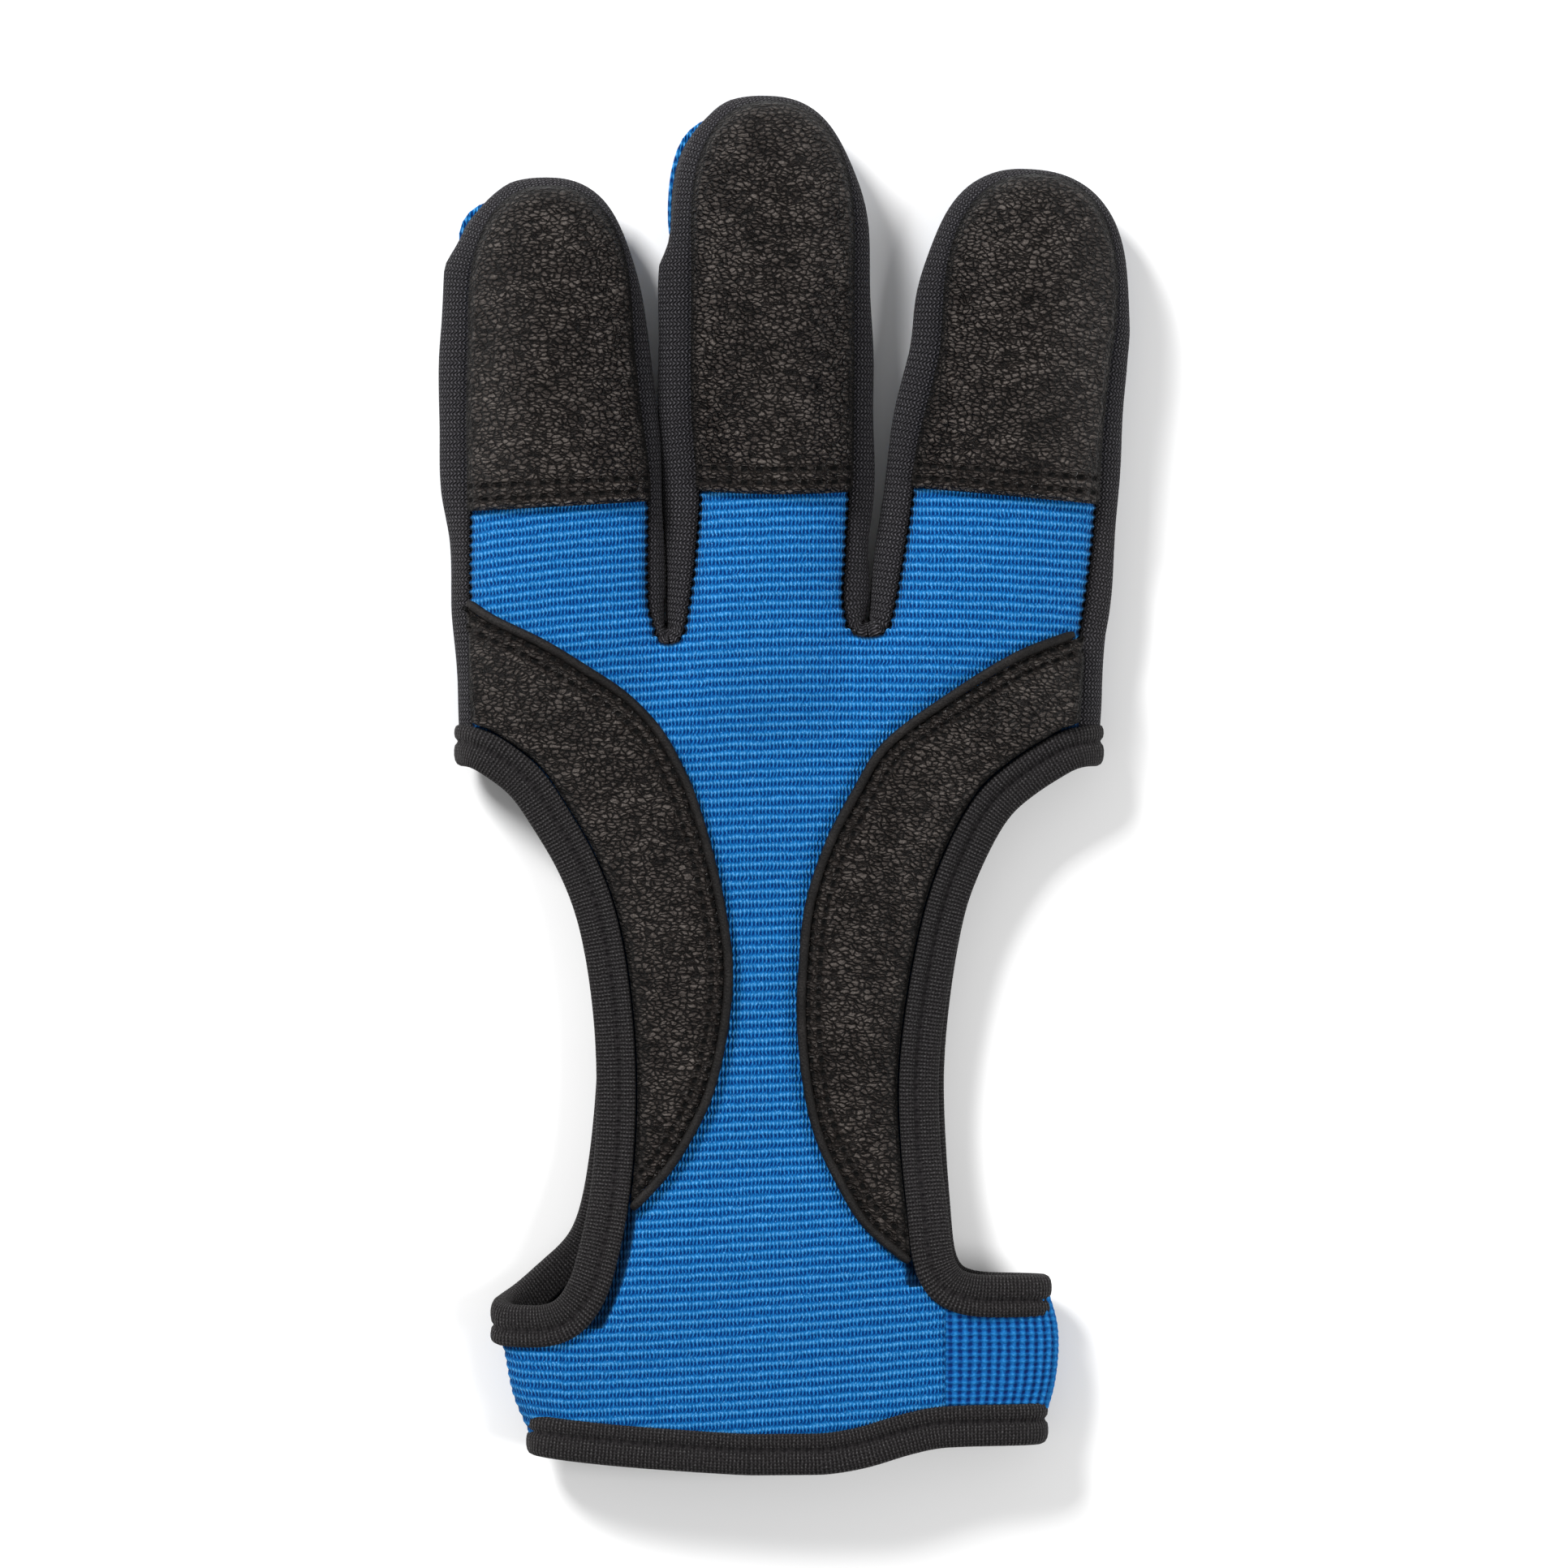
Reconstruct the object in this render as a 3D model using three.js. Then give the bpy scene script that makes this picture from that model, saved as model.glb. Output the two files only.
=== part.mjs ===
// Archery glove for three fingers, lying on its back with the palm side up.
// Millimetres. +X runs across the hand, +Y towards the fingertips, +Z up from the surface.
// Every piece is cloth or leather: a sheet of points on the glove's outer surface, given a wall.

import * as THREE from "three";

// Wrist band
const WRIST_WIDTH = 87;
const WRIST_DEPTH = 12.5;
const WRIST_HEIGHT_LEFT = 18.6;
const WRIST_HEIGHT_RIGHT = 23.7;
const BACK_RISE_LEFT = 11.5;
const HEM_SAG = 4.7;

// Palm
const PALM_WIDTH = 94.4;
const PALM_DEPTH = 12.5;
const NECK_WIDTH = 50.7;
const NECK_SHIFT = -1.2;
const OPENING_LENGTH = 82.5;
const CORNER_LENGTH = 19.6;
const CROTCH_DIP = 1.9;

// Fingers
const FINGER_SEAM_HEIGHT = 11.5;
const FINGER_CROWN = 4.2;
const BACK_SEAM_HEIGHT = 2.2;
const SEAM_LIFT_RUN = 7;
const LEVEL_RUN = 8;
const BOUND_EDGE_LIFT = 1.6;
const FINGER_ROLL = 1.1;
const GUSSET_BULGE = 4.6;
const GUSSET_ROUNDNESS = 0.85;
const TIP_SQUARENESS = 2.4;
const CROWN_FADE = 0.8;
const CROWN_ROUNDNESS = 2.2;
const PALM_ROUNDNESS = 2.5;

// Walls, trim and clearances
const PANEL_WALL = 1.2;
const GUSSET_WALL = 1;
const LEATHER_WALL = 1.2;
const BINDING_WALL = 1.1;
const BINDING_COVER = 5;
const BINDING_TUCK = 4;
const CORNER_TUCK = 1.2;
const GROOVE_INSET = 2.6;
const GROOVE_WIDTH = 1.6;
const GROOVE_DEPTH = 0.6;
const PIPING_RADIUS = 0.75;
const PATCH_TIP = 0.8;
const GAP = 0.3;
const OVERLAY_GAP = 0.6;
const PIPING_GAP = 0.8;

const BINDING_OUT = GAP + BINDING_WALL;
const HEM_Y = 0;
const CORNER_Y = HEM_Y + WRIST_HEIGHT_RIGHT + OPENING_LENGTH;
const CROTCH_Y = CORNER_Y + CORNER_LENGTH;

// Each finger's front panel. up is the share of its length from the crotch, shift and half are
// shares of its width: where the middle line runs beside the base, and half the width between seams.
const FINGERS = [
  {
    name: "left", length: 69, width: 28, base: -33.8, round: 21, leather: 49.5,
    rows: [
      { up: 0, shift: 0.03, half: 0.516 },
      { up: 0.07, shift: 0, half: 0.505 },
      { up: 0.33, shift: 0, half: 0.5 },
      { up: 0.51, shift: -0.029, half: 0.473 },
      { up: 0.7, shift: -0.046, half: 0.446 },
      { up: 1, shift: -0.057, half: 0.446 },
    ],
    bulges: [
      { up: 0, left: 0.54, right: 0.42 },
      { up: 0.08, left: 0.48, right: 0.63 },
      { up: 0.2, left: 0.58, right: 0.59 },
      { up: 0.32, left: 0.86, right: 0.56 },
      { up: 0.47, left: 0.95, right: 0.7 },
      { up: 0.62, left: 0.96, right: 0.72 },
      { up: 0.75, left: 0.92, right: 0.54 },
      { up: 0.9, left: 0.98, right: 0.39 },
      { up: 1, left: 0.6, right: 0.42 },
    ],
  },
  {
    name: "middle", length: 82.2, width: 24.7, base: -1, round: 21, leather: 60.3,
    rows: [
      { up: 0, shift: -0.016, half: 0.53 },
      { up: 0.06, shift: -0.016, half: 0.494 },
      { up: 0.14, shift: 0.008, half: 0.484 },
      { up: 0.27, shift: 0.035, half: 0.48 },
      { up: 0.43, shift: 0.024, half: 0.5 },
      { up: 0.74, shift: 0.026, half: 0.502 },
      { up: 1, shift: 0.01, half: 0.515 },
    ],
    bulges: [
      { up: 0, left: 0.42, right: 0.58 },
      { up: 0.07, left: 0.69, right: 0.95 },
      { up: 0.15, left: 0.87, right: 0.86 },
      { up: 0.27, left: 1.14, right: 0.92 },
      { up: 0.45, left: 1.08, right: 0.87 },
      { up: 0.65, left: 1.1, right: 0.76 },
      { up: 0.8, left: 0.92, right: 0.62 },
      { up: 0.92, left: 0.95, right: 0.34 },
      { up: 1, left: 0.6, right: 0.25 },
    ],
  },
  {
    name: "right", length: 70.8, width: 29.4, base: 35, round: 21, leather: 49.7,
    rows: [
      { up: 0, shift: -0.082, half: 0.517 },
      { up: 0.06, shift: -0.051, half: 0.51 },
      { up: 0.23, shift: 0.01, half: 0.5 },
      { up: 0.41, shift: 0.054, half: 0.48 },
      { up: 0.6, shift: 0.133, half: 0.446 },
      { up: 0.68, shift: 0.158, half: 0.45 },
      { up: 1, shift: 0.19, half: 0.46 },
    ],
    bulges: [
      { up: 0, left: 0.52, right: 1 },
      { up: 0.08, left: 0.76, right: 0.96 },
      { up: 0.24, left: 0.83, right: 0.86 },
      { up: 0.4, left: 0.88, right: 0.88 },
      { up: 0.57, left: 1.01, right: 0.82 },
      { up: 0.72, left: 0.88, right: 0.64 },
      { up: 0.84, left: 0.66, right: 0.56 },
      { up: 0.95, left: 0.6, right: 0.42 },
      { up: 1, left: 0.5, right: 0.3 },
    ],
  },
];
const CORNER_BULGES = { left: 0.44, right: 0.72 };

// Where one surface passes smoothly into the next: in shares of the palm's width, in shares of
// the side opening's length down from its corner, or in degrees round an end of the wrist band.
const WRIST_SLOPE = { from: 0.2, to: 0.8 };
const PALM_TO_BAND = { from: 0.72, to: 1 };
const BACK_TO_BAND = { from: 0.84, to: 0.95 };
const BACK_SEAM_START = { from: -0.09, to: -0.22 };
const BACK_RISE_TURN = { from: 60, to: 130 };
const BACK_RISE_AT_END = 0.2;

// How far the palm narrows to the neck, down each side opening from its upper corner.
const NARROWING = [
  { down: 0, left: 0, right: 0, backLeft: 0, backRight: 0 },
  { down: 0.05, left: 0.3, right: 0.29, backLeft: 0.3, backRight: 0.29 },
  { down: 0.1, left: 0.46, right: 0.5, backLeft: 0.46, backRight: 0.5 },
  { down: 0.2, left: 0.71, right: 0.7, backLeft: 0.71, backRight: 0.7 },
  { down: 0.3, left: 0.865, right: 0.83, backLeft: 0.865, backRight: 0.82 },
  { down: 0.45, left: 0.97, right: 0.94, backLeft: 0.97, backRight: 0.915 },
  { down: 0.6, left: 1, right: 1, backLeft: 1, backRight: 0.96 },
  { down: 0.75, left: 0.97, right: 0.985, backLeft: 0.97, backRight: 0.945 },
  { down: 0.9, left: 0.87, right: 0.925, backLeft: 0.9, backRight: 0.905 },
  { down: 1, left: 0.7, right: 0.9, backLeft: 0.82, backRight: 0.88 },
];

// Height of the palm's front surface, in shares of its depth, from the crotches down to the wrist.
const PALM_HEIGHTS = [
  { down: -0.24, edge: 0.92, crown: 1.08 },
  { down: 0, edge: 0.87, crown: 1 },
  { down: 0.3, edge: 0.66, crown: 0.9 },
  { down: 0.6, edge: 0.61, crown: 0.84 },
  { down: 0.85, edge: 0.7, crown: 0.92 },
  { down: 1, edge: 0.8, crown: 1 },
];

// The wrist band's two ends, in shares of half its width, from its upper edge down to the hem.
const WRIST_ENDS = [
  { down: 0, left: -1.02, right: 0.978 },
  { down: 0.3, left: -0.98, right: 1.02 },
  { down: 0.65, left: -0.945, right: 1.01 },
  { down: 1, left: -0.87, right: 0.955 },
];

// The hem's sag, across the band in shares of half its width.
const HEM = [
  { across: -1, drop: 0.2 },
  { across: -0.75, drop: 0.5 },
  { across: -0.45, drop: 0.75 },
  { across: 0, drop: 1 },
  { across: 0.15, drop: 0.97 },
  { across: 0.32, drop: 0.72 },
  { across: 0.47, drop: 0.3 },
  { across: 0.6, drop: 0.05 },
  { across: 1, drop: 0 },
];

// The curved inner edge of each palm patch, across in shares of half the palm's width,
// down in shares of the side opening's length, below the opening's upper corner.
const PATCH_EDGES = {
  left: [
    { down: -0.28, across: -1.005 },
    { down: -0.24, across: -0.9 },
    { down: -0.2, across: -0.765 },
    { down: -0.12, across: -0.51 },
    { down: -0.03, across: -0.357 },
    { down: 0.06, across: -0.27 },
    { down: 0.16, across: -0.214 },
    { down: 0.28, across: -0.165 },
    { down: 0.4, across: -0.139 },
    { down: 0.52, across: -0.156 },
    { down: 0.64, across: -0.205 },
    { down: 0.72, across: -0.27 },
    { down: 0.79, across: -0.348 },
    { down: 0.86, across: -0.46 },
    { down: 0.9, across: -0.53 },
  ],
  right: [
    { down: -0.24, across: 0.98 },
    { down: -0.2, across: 0.8 },
    { down: -0.12, across: 0.57 },
    { down: -0.03, across: 0.36 },
    { down: 0.06, across: 0.257 },
    { down: 0.16, across: 0.166 },
    { down: 0.28, across: 0.098 },
    { down: 0.4, across: 0.076 },
    { down: 0.5, across: 0.071 },
    { down: 0.62, across: 0.09 },
    { down: 0.72, across: 0.13 },
    { down: 0.81, across: 0.202 },
    { down: 0.89, across: 0.29 },
    { down: 0.96, across: 0.43 },
    { down: 1, across: 0.53 },
  ],
};

// How finely the sheets are cut
const FINGER_COLUMNS = [-1, -0.5, 0, 0.5, 1];
const FINGER_STEPS = [0, 0.08, 0.2, 0.34, 0.48, 0.61, 0.72, 0.81, 0.88, 0.935, 0.97, 0.99];
const CORNER_STEPS = [0.36, 0.68];
const OPENING_STEPS = [0, 0.035, 0.08, 0.14, 0.22, 0.33, 0.46, 0.6, 0.73, 0.84, 0.93, 1];
const WRIST_STEPS = [0, 0.3, 0.65, 1];
const END_TURNS = [35, 49, 63, 76, 90, 102, 115, 127, 140];
const GUSSET_STEPS = [0, 0.16, 0.38, 0.62, 0.84, 1];
const LEATHER_ROW_SPACE = 0.02;
const EDGE_SLACK = 1.02;
const PATCH_COLUMNS = 4;
const PATCH_ROWS = 17;
const PATCH_SAMPLES = 200;
const PATCH_ROW_SPACE = 1.5;
const PIPING_STATIONS = 20;
const PIPING_SIDES = 6;

// Values between rows

const mix = (a, b, share) => a + (b - a) * share;

function smooth(from, to, value) {
  const share = THREE.MathUtils.clamp((value - from) / (to - from), 0, 1);
  return share * share * (3 - 2 * share);
}

const pass = ({ from, to }, value) => smooth(from, to, value);

function slopeAt(rows, index, key, column) {
  const before = rows[Math.max(index - 1, 0)];
  const after = rows[Math.min(index + 1, rows.length - 1)];
  return (after[column] - before[column]) / (after[key] - before[key]);
}

// A smooth curve through a table's rows; outside them the end value holds.
function read(rows, key, column, at) {
  const last = rows.length - 1;
  if (at <= rows[0][key]) return rows[0][column];
  if (at >= rows[last][key]) return rows[last][column];
  const index = rows.findIndex((row) => row[key] > at) - 1;
  const [from, to] = [rows[index], rows[index + 1]];
  const span = to[key] - from[key];
  const u = (at - from[key]) / span;
  const rise = slopeAt(rows, index, key, column) * span;
  const fall = slopeAt(rows, index + 1, key, column) * span;
  const cubic = 2 * u ** 3 - 3 * u ** 2 + 1;
  return cubic * from[column] + (1 - cubic) * to[column]
    + (u ** 3 - 2 * u ** 2 + u) * rise + (u ** 3 - u ** 2) * fall;
}

// The glove's outer surface

const SIDE_SIGN = { left: -1, right: 1 };

// Shrinks a finger towards its round tip.
function roundOff(finger, up) {
  const share = 1 - (1 - up) * finger.length / finger.round;
  return share <= 0 ? 1 : Math.max(1 - share ** TIP_SQUARENESS, 0) ** (1 / TIP_SQUARENESS);
}

function fingerMiddle(finger, up) {
  return finger.base + finger.width * read(finger.rows, "up", "shift", up);
}

function fingerHalf(finger, up) {
  return finger.width * read(finger.rows, "up", "half", up) * roundOff(finger, up);
}

// Where a share across the tip's last row lies along the finger.
function tipUp(finger, across) {
  const lastHalf = fingerHalf(finger, FINGER_STEPS.at(-1));
  const fullHalf = finger.width * finger.rows.at(-1).half;
  const reach = Math.abs(across) * lastHalf / fullHalf;
  const arc = (1 - reach ** TIP_SQUARENESS) ** (1 / TIP_SQUARENESS);
  return 1 - (1 - arc) * finger.round / finger.length;
}

function fingerHeight(finger, up, across) {
  const fade = roundOff(finger, up) ** CROWN_FADE;
  return FINGER_SEAM_HEIGHT + FINGER_CROWN * fade * (1 - Math.abs(across) ** CROWN_ROUNDNESS);
}

function palmEdge(side, down, column = side) {
  const narrow = read(NARROWING, "down", column, down);
  const neck = SIDE_SIGN[side] * NECK_WIDTH / 2 + NECK_SHIFT;
  return mix(SIDE_SIGN[side] * PALM_WIDTH / 2, neck, narrow);
}

// The wrist band's upper edge on the front, a straight slope from side to side.
function wristTop(x) {
  const share = THREE.MathUtils.clamp((x + PALM_WIDTH / 2) / PALM_WIDTH, 0, 1);
  return HEM_Y + mix(WRIST_HEIGHT_LEFT, WRIST_HEIGHT_RIGHT, pass(WRIST_SLOPE, share));
}

// On the back the left end of that edge stands higher, so the band's opening shows from above.
function wristTopBack(x) {
  const lobe = smooth(-WRIST_WIDTH / 2, -WRIST_WIDTH / 3, x);
  const fade = 1 - smooth(-NECK_WIDTH / 2, NECK_WIDTH / 2, x);
  return wristTop(x) + BACK_RISE_LEFT * mix(BACK_RISE_AT_END, 1, lobe) * fade;
}

function hemLine(x) {
  return HEM_Y - HEM_SAG * read(HEM, "across", "drop", x / (WRIST_WIDTH / 2));
}

// The band's flat loop at one height: a squared ellipse standing on the lifted back.
function wristLoop(down) {
  const left = WRIST_WIDTH / 2 * read(WRIST_ENDS, "down", "left", down);
  const right = WRIST_WIDTH / 2 * read(WRIST_ENDS, "down", "right", down);
  return {
    middle: (left + right) / 2,
    half: (right - left) / 2,
    level: (WRIST_DEPTH + BOUND_EDGE_LIFT) / 2,
    rise: (WRIST_DEPTH - BOUND_EDGE_LIFT) / 2,
  };
}

const LOOP_SQUARENESS = { across: 5, up: 2.2 };

function wristHeight(x, down, face) {
  const loop = wristLoop(down);
  const across = Math.min(Math.abs(x - loop.middle) / loop.half, 1);
  const arch = (1 - across ** LOOP_SQUARENESS.across) ** (1 / LOOP_SQUARENESS.up);
  return loop.level + face * loop.rise * arch;
}

// A point on the loop, by its turn from the middle of the front (0) round an end (90) to the back.
function loopPoint(side, turn, down) {
  const loop = wristLoop(down);
  const angle = THREE.MathUtils.degToRad(turn);
  const across = Math.sin(angle) ** (2 / LOOP_SQUARENESS.across);
  const up = Math.sign(Math.cos(angle)) * Math.abs(Math.cos(angle)) ** (2 / LOOP_SQUARENESS.up);
  return { x: loop.middle + SIDE_SIGN[side] * loop.half * across, z: loop.level + loop.rise * up };
}

// The three fingers' rounded fronts, carried down into the top of the palm.
function fingerLobes(x) {
  for (const finger of FINGERS) {
    const across = (x - fingerMiddle(finger, 0)) / fingerHalf(finger, 0);
    if (Math.abs(across) < 1) return fingerHeight(finger, 0, across);
  }
  return FINGER_SEAM_HEIGHT;
}

function palmHeight(x, y) {
  const down = (CORNER_Y - y) / (CORNER_Y - wristTop(x));
  const left = palmEdge("left", down);
  const right = palmEdge("right", down);
  const across = Math.min(Math.abs((2 * x - left - right) / (right - left)), 1);
  const edge = PALM_DEPTH * read(PALM_HEIGHTS, "down", "edge", down);
  const crown = PALM_DEPTH * read(PALM_HEIGHTS, "down", "crown", down);
  const palm = mix(crown, edge, across ** PALM_ROUNDNESS);
  const lobed = mix(palm, fingerLobes(x), smooth(CORNER_Y, CROTCH_Y, y));
  return mix(lobed, wristHeight(x, 0, 1), pass(PALM_TO_BAND, down));
}

function frontHeight(x, y) {
  if (y <= CROTCH_Y) return palmHeight(x, y);
  for (const finger of FINGERS) {
    const up = (y - CROTCH_Y) / finger.length;
    const across = (x - fingerMiddle(finger, up)) / fingerHalf(finger, up);
    if (Math.abs(across) <= EDGE_SLACK) return fingerHeight(finger, up, Math.min(Math.abs(across), 1));
  }
  return FINGER_SEAM_HEIGHT;
}

// The back lies flat on the surface and lifts only beside its seams and under its bindings.
function backHeight(inward, edgeLift, level, run) {
  return edgeLift * (1 - smooth(level, level + run, inward));
}

// Sheets: grids of points joined along the rows that they share

function newSheet() {
  return { points: [], keys: new Map(), faces: [] };
}

function addPoint(sheet, point) {
  const key = [point.x, point.y, point.z].map((value) => Math.round(value * 1000)).join(" ");
  if (!sheet.keys.has(key)) {
    sheet.keys.set(key, sheet.points.length);
    sheet.points.push(point);
  }
  return sheet.keys.get(key);
}

// Rows run towards the fingertips and their points to the right; flipped turns the faces over.
function addGrid(sheet, rows, flipped = false) {
  const indices = rows.map((row) => row.map((point) => addPoint(sheet, point)));
  for (let r = 0; r + 1 < rows.length; r += 1) {
    for (let c = 0; c + 1 < rows[r].length; c += 1) {
      const quad = [indices[r][c], indices[r][c + 1], indices[r + 1][c + 1], indices[r + 1][c]];
      const face = [...new Set(quad)];
      if (face.length > 2) sheet.faces.push(flipped ? face.reverse() : face);
    }
  }
}

function splitFace(sheet, face) {
  if (face.length === 3) return [face];
  const [a, b, c, d] = face;
  const along = sheet.points[a].distanceTo(sheet.points[c]);
  const crossing = sheet.points[b].distanceTo(sheet.points[d]);
  return along <= crossing ? [[a, b, c], [a, c, d]] : [[a, b, d], [b, c, d]];
}

function sheetNormals(sheet) {
  const normals = sheet.points.map(() => new THREE.Vector3());
  for (const [a, b, c] of sheet.faces.flatMap((face) => splitFace(sheet, face))) {
    const first = sheet.points[b].clone().sub(sheet.points[a]);
    const second = sheet.points[c].clone().sub(sheet.points[a]);
    const area = first.cross(second);
    for (const index of [a, b, c]) normals[index].add(area);
  }
  return normals.map((normal) => normal.normalize());
}

function toGeometry(points, triangles) {
  const geometry = new THREE.BufferGeometry();
  geometry.setAttribute("position", new THREE.Float32BufferAttribute(points.flatMap((p) => p.toArray()), 3));
  geometry.setIndex(triangles.flat());
  geometry.computeVertexNormals();
  return geometry;
}

// Gives a sheet a wall between two distances from its surface, closed all round its edge.
function thicken(sheet, inner, outer) {
  const normals = sheetNormals(sheet);
  const count = sheet.points.length;
  const at = (distance) => sheet.points.map((p, i) => p.clone().addScaledVector(normals[i], distance));
  const points = [...at(outer), ...at(inner)];
  const top = sheet.faces.flatMap((face) => splitFace(sheet, face));
  const bottom = top.map(([a, b, c]) => [c + count, b + count, a + count]);
  const edges = new Set();
  for (const face of sheet.faces) {
    face.forEach((start, i) => edges.add(`${start} ${face[(i + 1) % face.length]}`));
  }
  const rim = [];
  for (const edge of edges) {
    const [start, end] = edge.split(" ").map(Number);
    if (edges.has(`${end} ${start}`)) continue;
    rim.push([end, start, start + count], [end, start + count, end + count]);
  }
  return toGeometry(points, [...top, ...bottom, ...rim]);
}

// Joins the outlines of a ring of stations, or of an open row of them with flat ends.
function sweep(stations, closed) {
  const points = stations.flatMap(({ point, into, out, outline }) => outline.map(([a, b]) => (
    point.clone().addScaledVector(into, a).addScaledVector(out, b))));
  const size = stations[0].outline.length;
  const triangles = [];
  const spans = closed ? stations.length : stations.length - 1;
  for (let s = 0; s < spans; s += 1) {
    const here = s * size;
    const next = ((s + 1) % stations.length) * size;
    for (let i = 0; i < size; i += 1) {
      const j = (i + 1) % size;
      triangles.push([here + i, here + j, next + j], [here + i, next + j, next + i]);
    }
  }
  if (!closed) {
    const end = (stations.length - 1) * size;
    for (let i = 1; i + 1 < size; i += 1) {
      triangles.push([0, i + 1, i], [end, end + i, end + i + 1]);
    }
  }
  return toGeometry(points, triangles);
}

// Front panel

function fingerPoint(finger, up, across) {
  const x = fingerMiddle(finger, up) + fingerHalf(finger, up) * across;
  if (up === FINGER_STEPS.at(-1)) {
    return new THREE.Vector3(x, CROTCH_Y + finger.length * tipUp(finger, across), FINGER_SEAM_HEIGHT);
  }
  return new THREE.Vector3(x, CROTCH_Y + finger.length * up, fingerHeight(finger, up, across));
}

function fingerRows(finger) {
  return FINGER_STEPS.map((up) => FINGER_COLUMNS.map((across) => fingerPoint(finger, up, across)));
}

// The palm's top row: the three fingers' lowest rows, with a dip at each crotch between them.
function crotchRow(firstRows) {
  const row = [];
  firstRows.forEach((fingerRow, index) => {
    row.push(...fingerRow);
    if (index + 1 === firstRows.length) return;
    const dip = fingerRow.at(-1).clone().lerp(firstRows[index + 1][0], 0.5);
    dip.y -= CROTCH_DIP;
    row.push(dip);
  });
  return row;
}

function spreadRow(topRow, down, edges, lineAt, heightAt) {
  const width = topRow.at(-1).x - topRow[0].x;
  return topRow.map((top) => {
    const share = (top.x - topRow[0].x) / width;
    const x = mix(edges[0], edges[1], share);
    const y = mix(CORNER_Y, lineAt(x), down);
    return new THREE.Vector3(x, y, heightAt(x, y, 2 * share - 1));
  });
}

function cornerRows(topRow, edges, heightAt) {
  return CORNER_STEPS.map((share) => topRow.map((top) => {
    const across = (top.x - topRow[0].x) / (topRow.at(-1).x - topRow[0].x);
    const x = mix(top.x, mix(edges[0], edges[1], across), share);
    const y = mix(top.y, CORNER_Y, share);
    return new THREE.Vector3(x, y, heightAt(x, y, 2 * across - 1));
  }));
}

function frontRows() {
  const fingers = FINGERS.map(fingerRows);
  const top = crotchRow(fingers.map((rows) => rows[0]));
  const corner = [palmEdge("left", 0), palmEdge("right", 0)];
  const heightAt = (x, y) => palmHeight(x, y);
  const opening = OPENING_STEPS.map((down) => (
    spreadRow(top, down, [palmEdge("left", down), palmEdge("right", down)], wristTop, heightAt)));
  return { fingers, palm: [top, ...cornerRows(top, corner, heightAt), ...opening] };
}

// Below the palm the columns run straight down to the hem.
function wristRows(palmRow, face) {
  return WRIST_STEPS.map((down) => palmRow.map((start) => {
    if (down === 0) return start;
    const z = wristHeight(start.x, down, face);
    return new THREE.Vector3(start.x, mix(start.y, hemLine(start.x), down), z);
  }));
}

// A column of the wrist band where it turns round an end; its upper edge climbs towards the back.
function endColumns(side, turns) {
  return WRIST_STEPS.map((down) => turns.map((turn) => {
    const { x, z } = loopPoint(side, turn, down);
    const top = mix(wristTop(x), wristTopBack(x), pass(BACK_RISE_TURN, turn));
    return new THREE.Vector3(x, mix(top, hemLine(x), down), z);
  }));
}

// The same column of the band set a little to one side, so that two pieces meet at a seam.
function seamColumn(rows, column, shift) {
  return rows.map((row) => row.at(column).clone().setX(row.at(column).x + shift));
}

const upward = (rows) => [...rows].reverse();
const turnedRound = (rows) => rows.map((row) => [...row].reverse());
const besideColumn = (column, rows) => rows.map((row, index) => [column[index], ...row]);
const withColumn = (rows, column) => rows.map((row, index) => [...row, column[index]]);
const column = (rows, index) => rows.map((row) => row.at(index));

const front = frontRows();
front.wrist = wristRows(front.palm.at(-1), 1);
front.leftEnd = withColumn(turnedRound(endColumns("left", END_TURNS)), column(front.wrist, 0));

function frontSheet() {
  const sheet = newSheet();
  front.fingers.forEach((rows) => addGrid(sheet, rows));
  [front.palm, front.wrist, front.leftEnd].forEach((rows) => addGrid(sheet, upward(rows)));
  return sheet;
}

// Back panel

function backFinger(rows) {
  return rows.map((row, index) => row.map((point, place) => {
    const half = (row.at(-1).x - row[0].x) / 2;
    const inward = half * (1 - Math.abs(FINGER_COLUMNS[place]));
    const lift = backHeight(inward, BACK_SEAM_HEIGHT, 0, SEAM_LIFT_RUN);
    const z = index === rows.length - 1 ? BACK_SEAM_HEIGHT : lift;
    return new THREE.Vector3(point.x - FINGER_ROLL, point.y, z);
  }));
}

const backEdges = (down) => [palmEdge("left", down, "backLeft"), palmEdge("right", down, "backRight")];
const BACK_EDGES = OPENING_STEPS.flatMap((down) => (
  backEdges(down).map((x) => new THREE.Vector2(x, mix(CORNER_Y, wristTopBack(x), down)))));

function edgeDistance(x, y) {
  const point = new THREE.Vector2(x, y);
  return Math.min(...BACK_EDGES.map((edge) => edge.distanceTo(point)));
}

function backPalmHeight(x, y, across) {
  const down = (CORNER_Y - y) / (CORNER_Y - wristTopBack(x));
  const inward = PALM_WIDTH / 2 * (1 - Math.abs(across));
  const seam = backHeight(inward, BACK_SEAM_HEIGHT * pass(BACK_SEAM_START, down), 0, SEAM_LIFT_RUN);
  const bound = backHeight(edgeDistance(x, y), BOUND_EDGE_LIFT, LEVEL_RUN, SEAM_LIFT_RUN);
  return mix(Math.max(seam, bound), wristHeight(x, 0, -1), pass(BACK_TO_BAND, down));
}

function backRows() {
  const fingers = front.fingers.map(backFinger);
  const top = crotchRow(fingers.map((rows) => rows[0]));
  const corners = cornerRows(top, [palmEdge("left", 0), palmEdge("right", 0)], backPalmHeight);
  const opening = OPENING_STEPS.map((down) => (
    spreadRow(top, down, backEdges(down), wristTopBack, backPalmHeight)));
  return { fingers, palm: [top, ...corners, ...opening] };
}

const back = backRows();
back.wrist = wristRows(back.palm.at(-1), -1);
back.leftEnd = besideColumn(seamColumn(front.leftEnd, 0, GAP), back.wrist.map((row) => [row[0]]));

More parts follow.
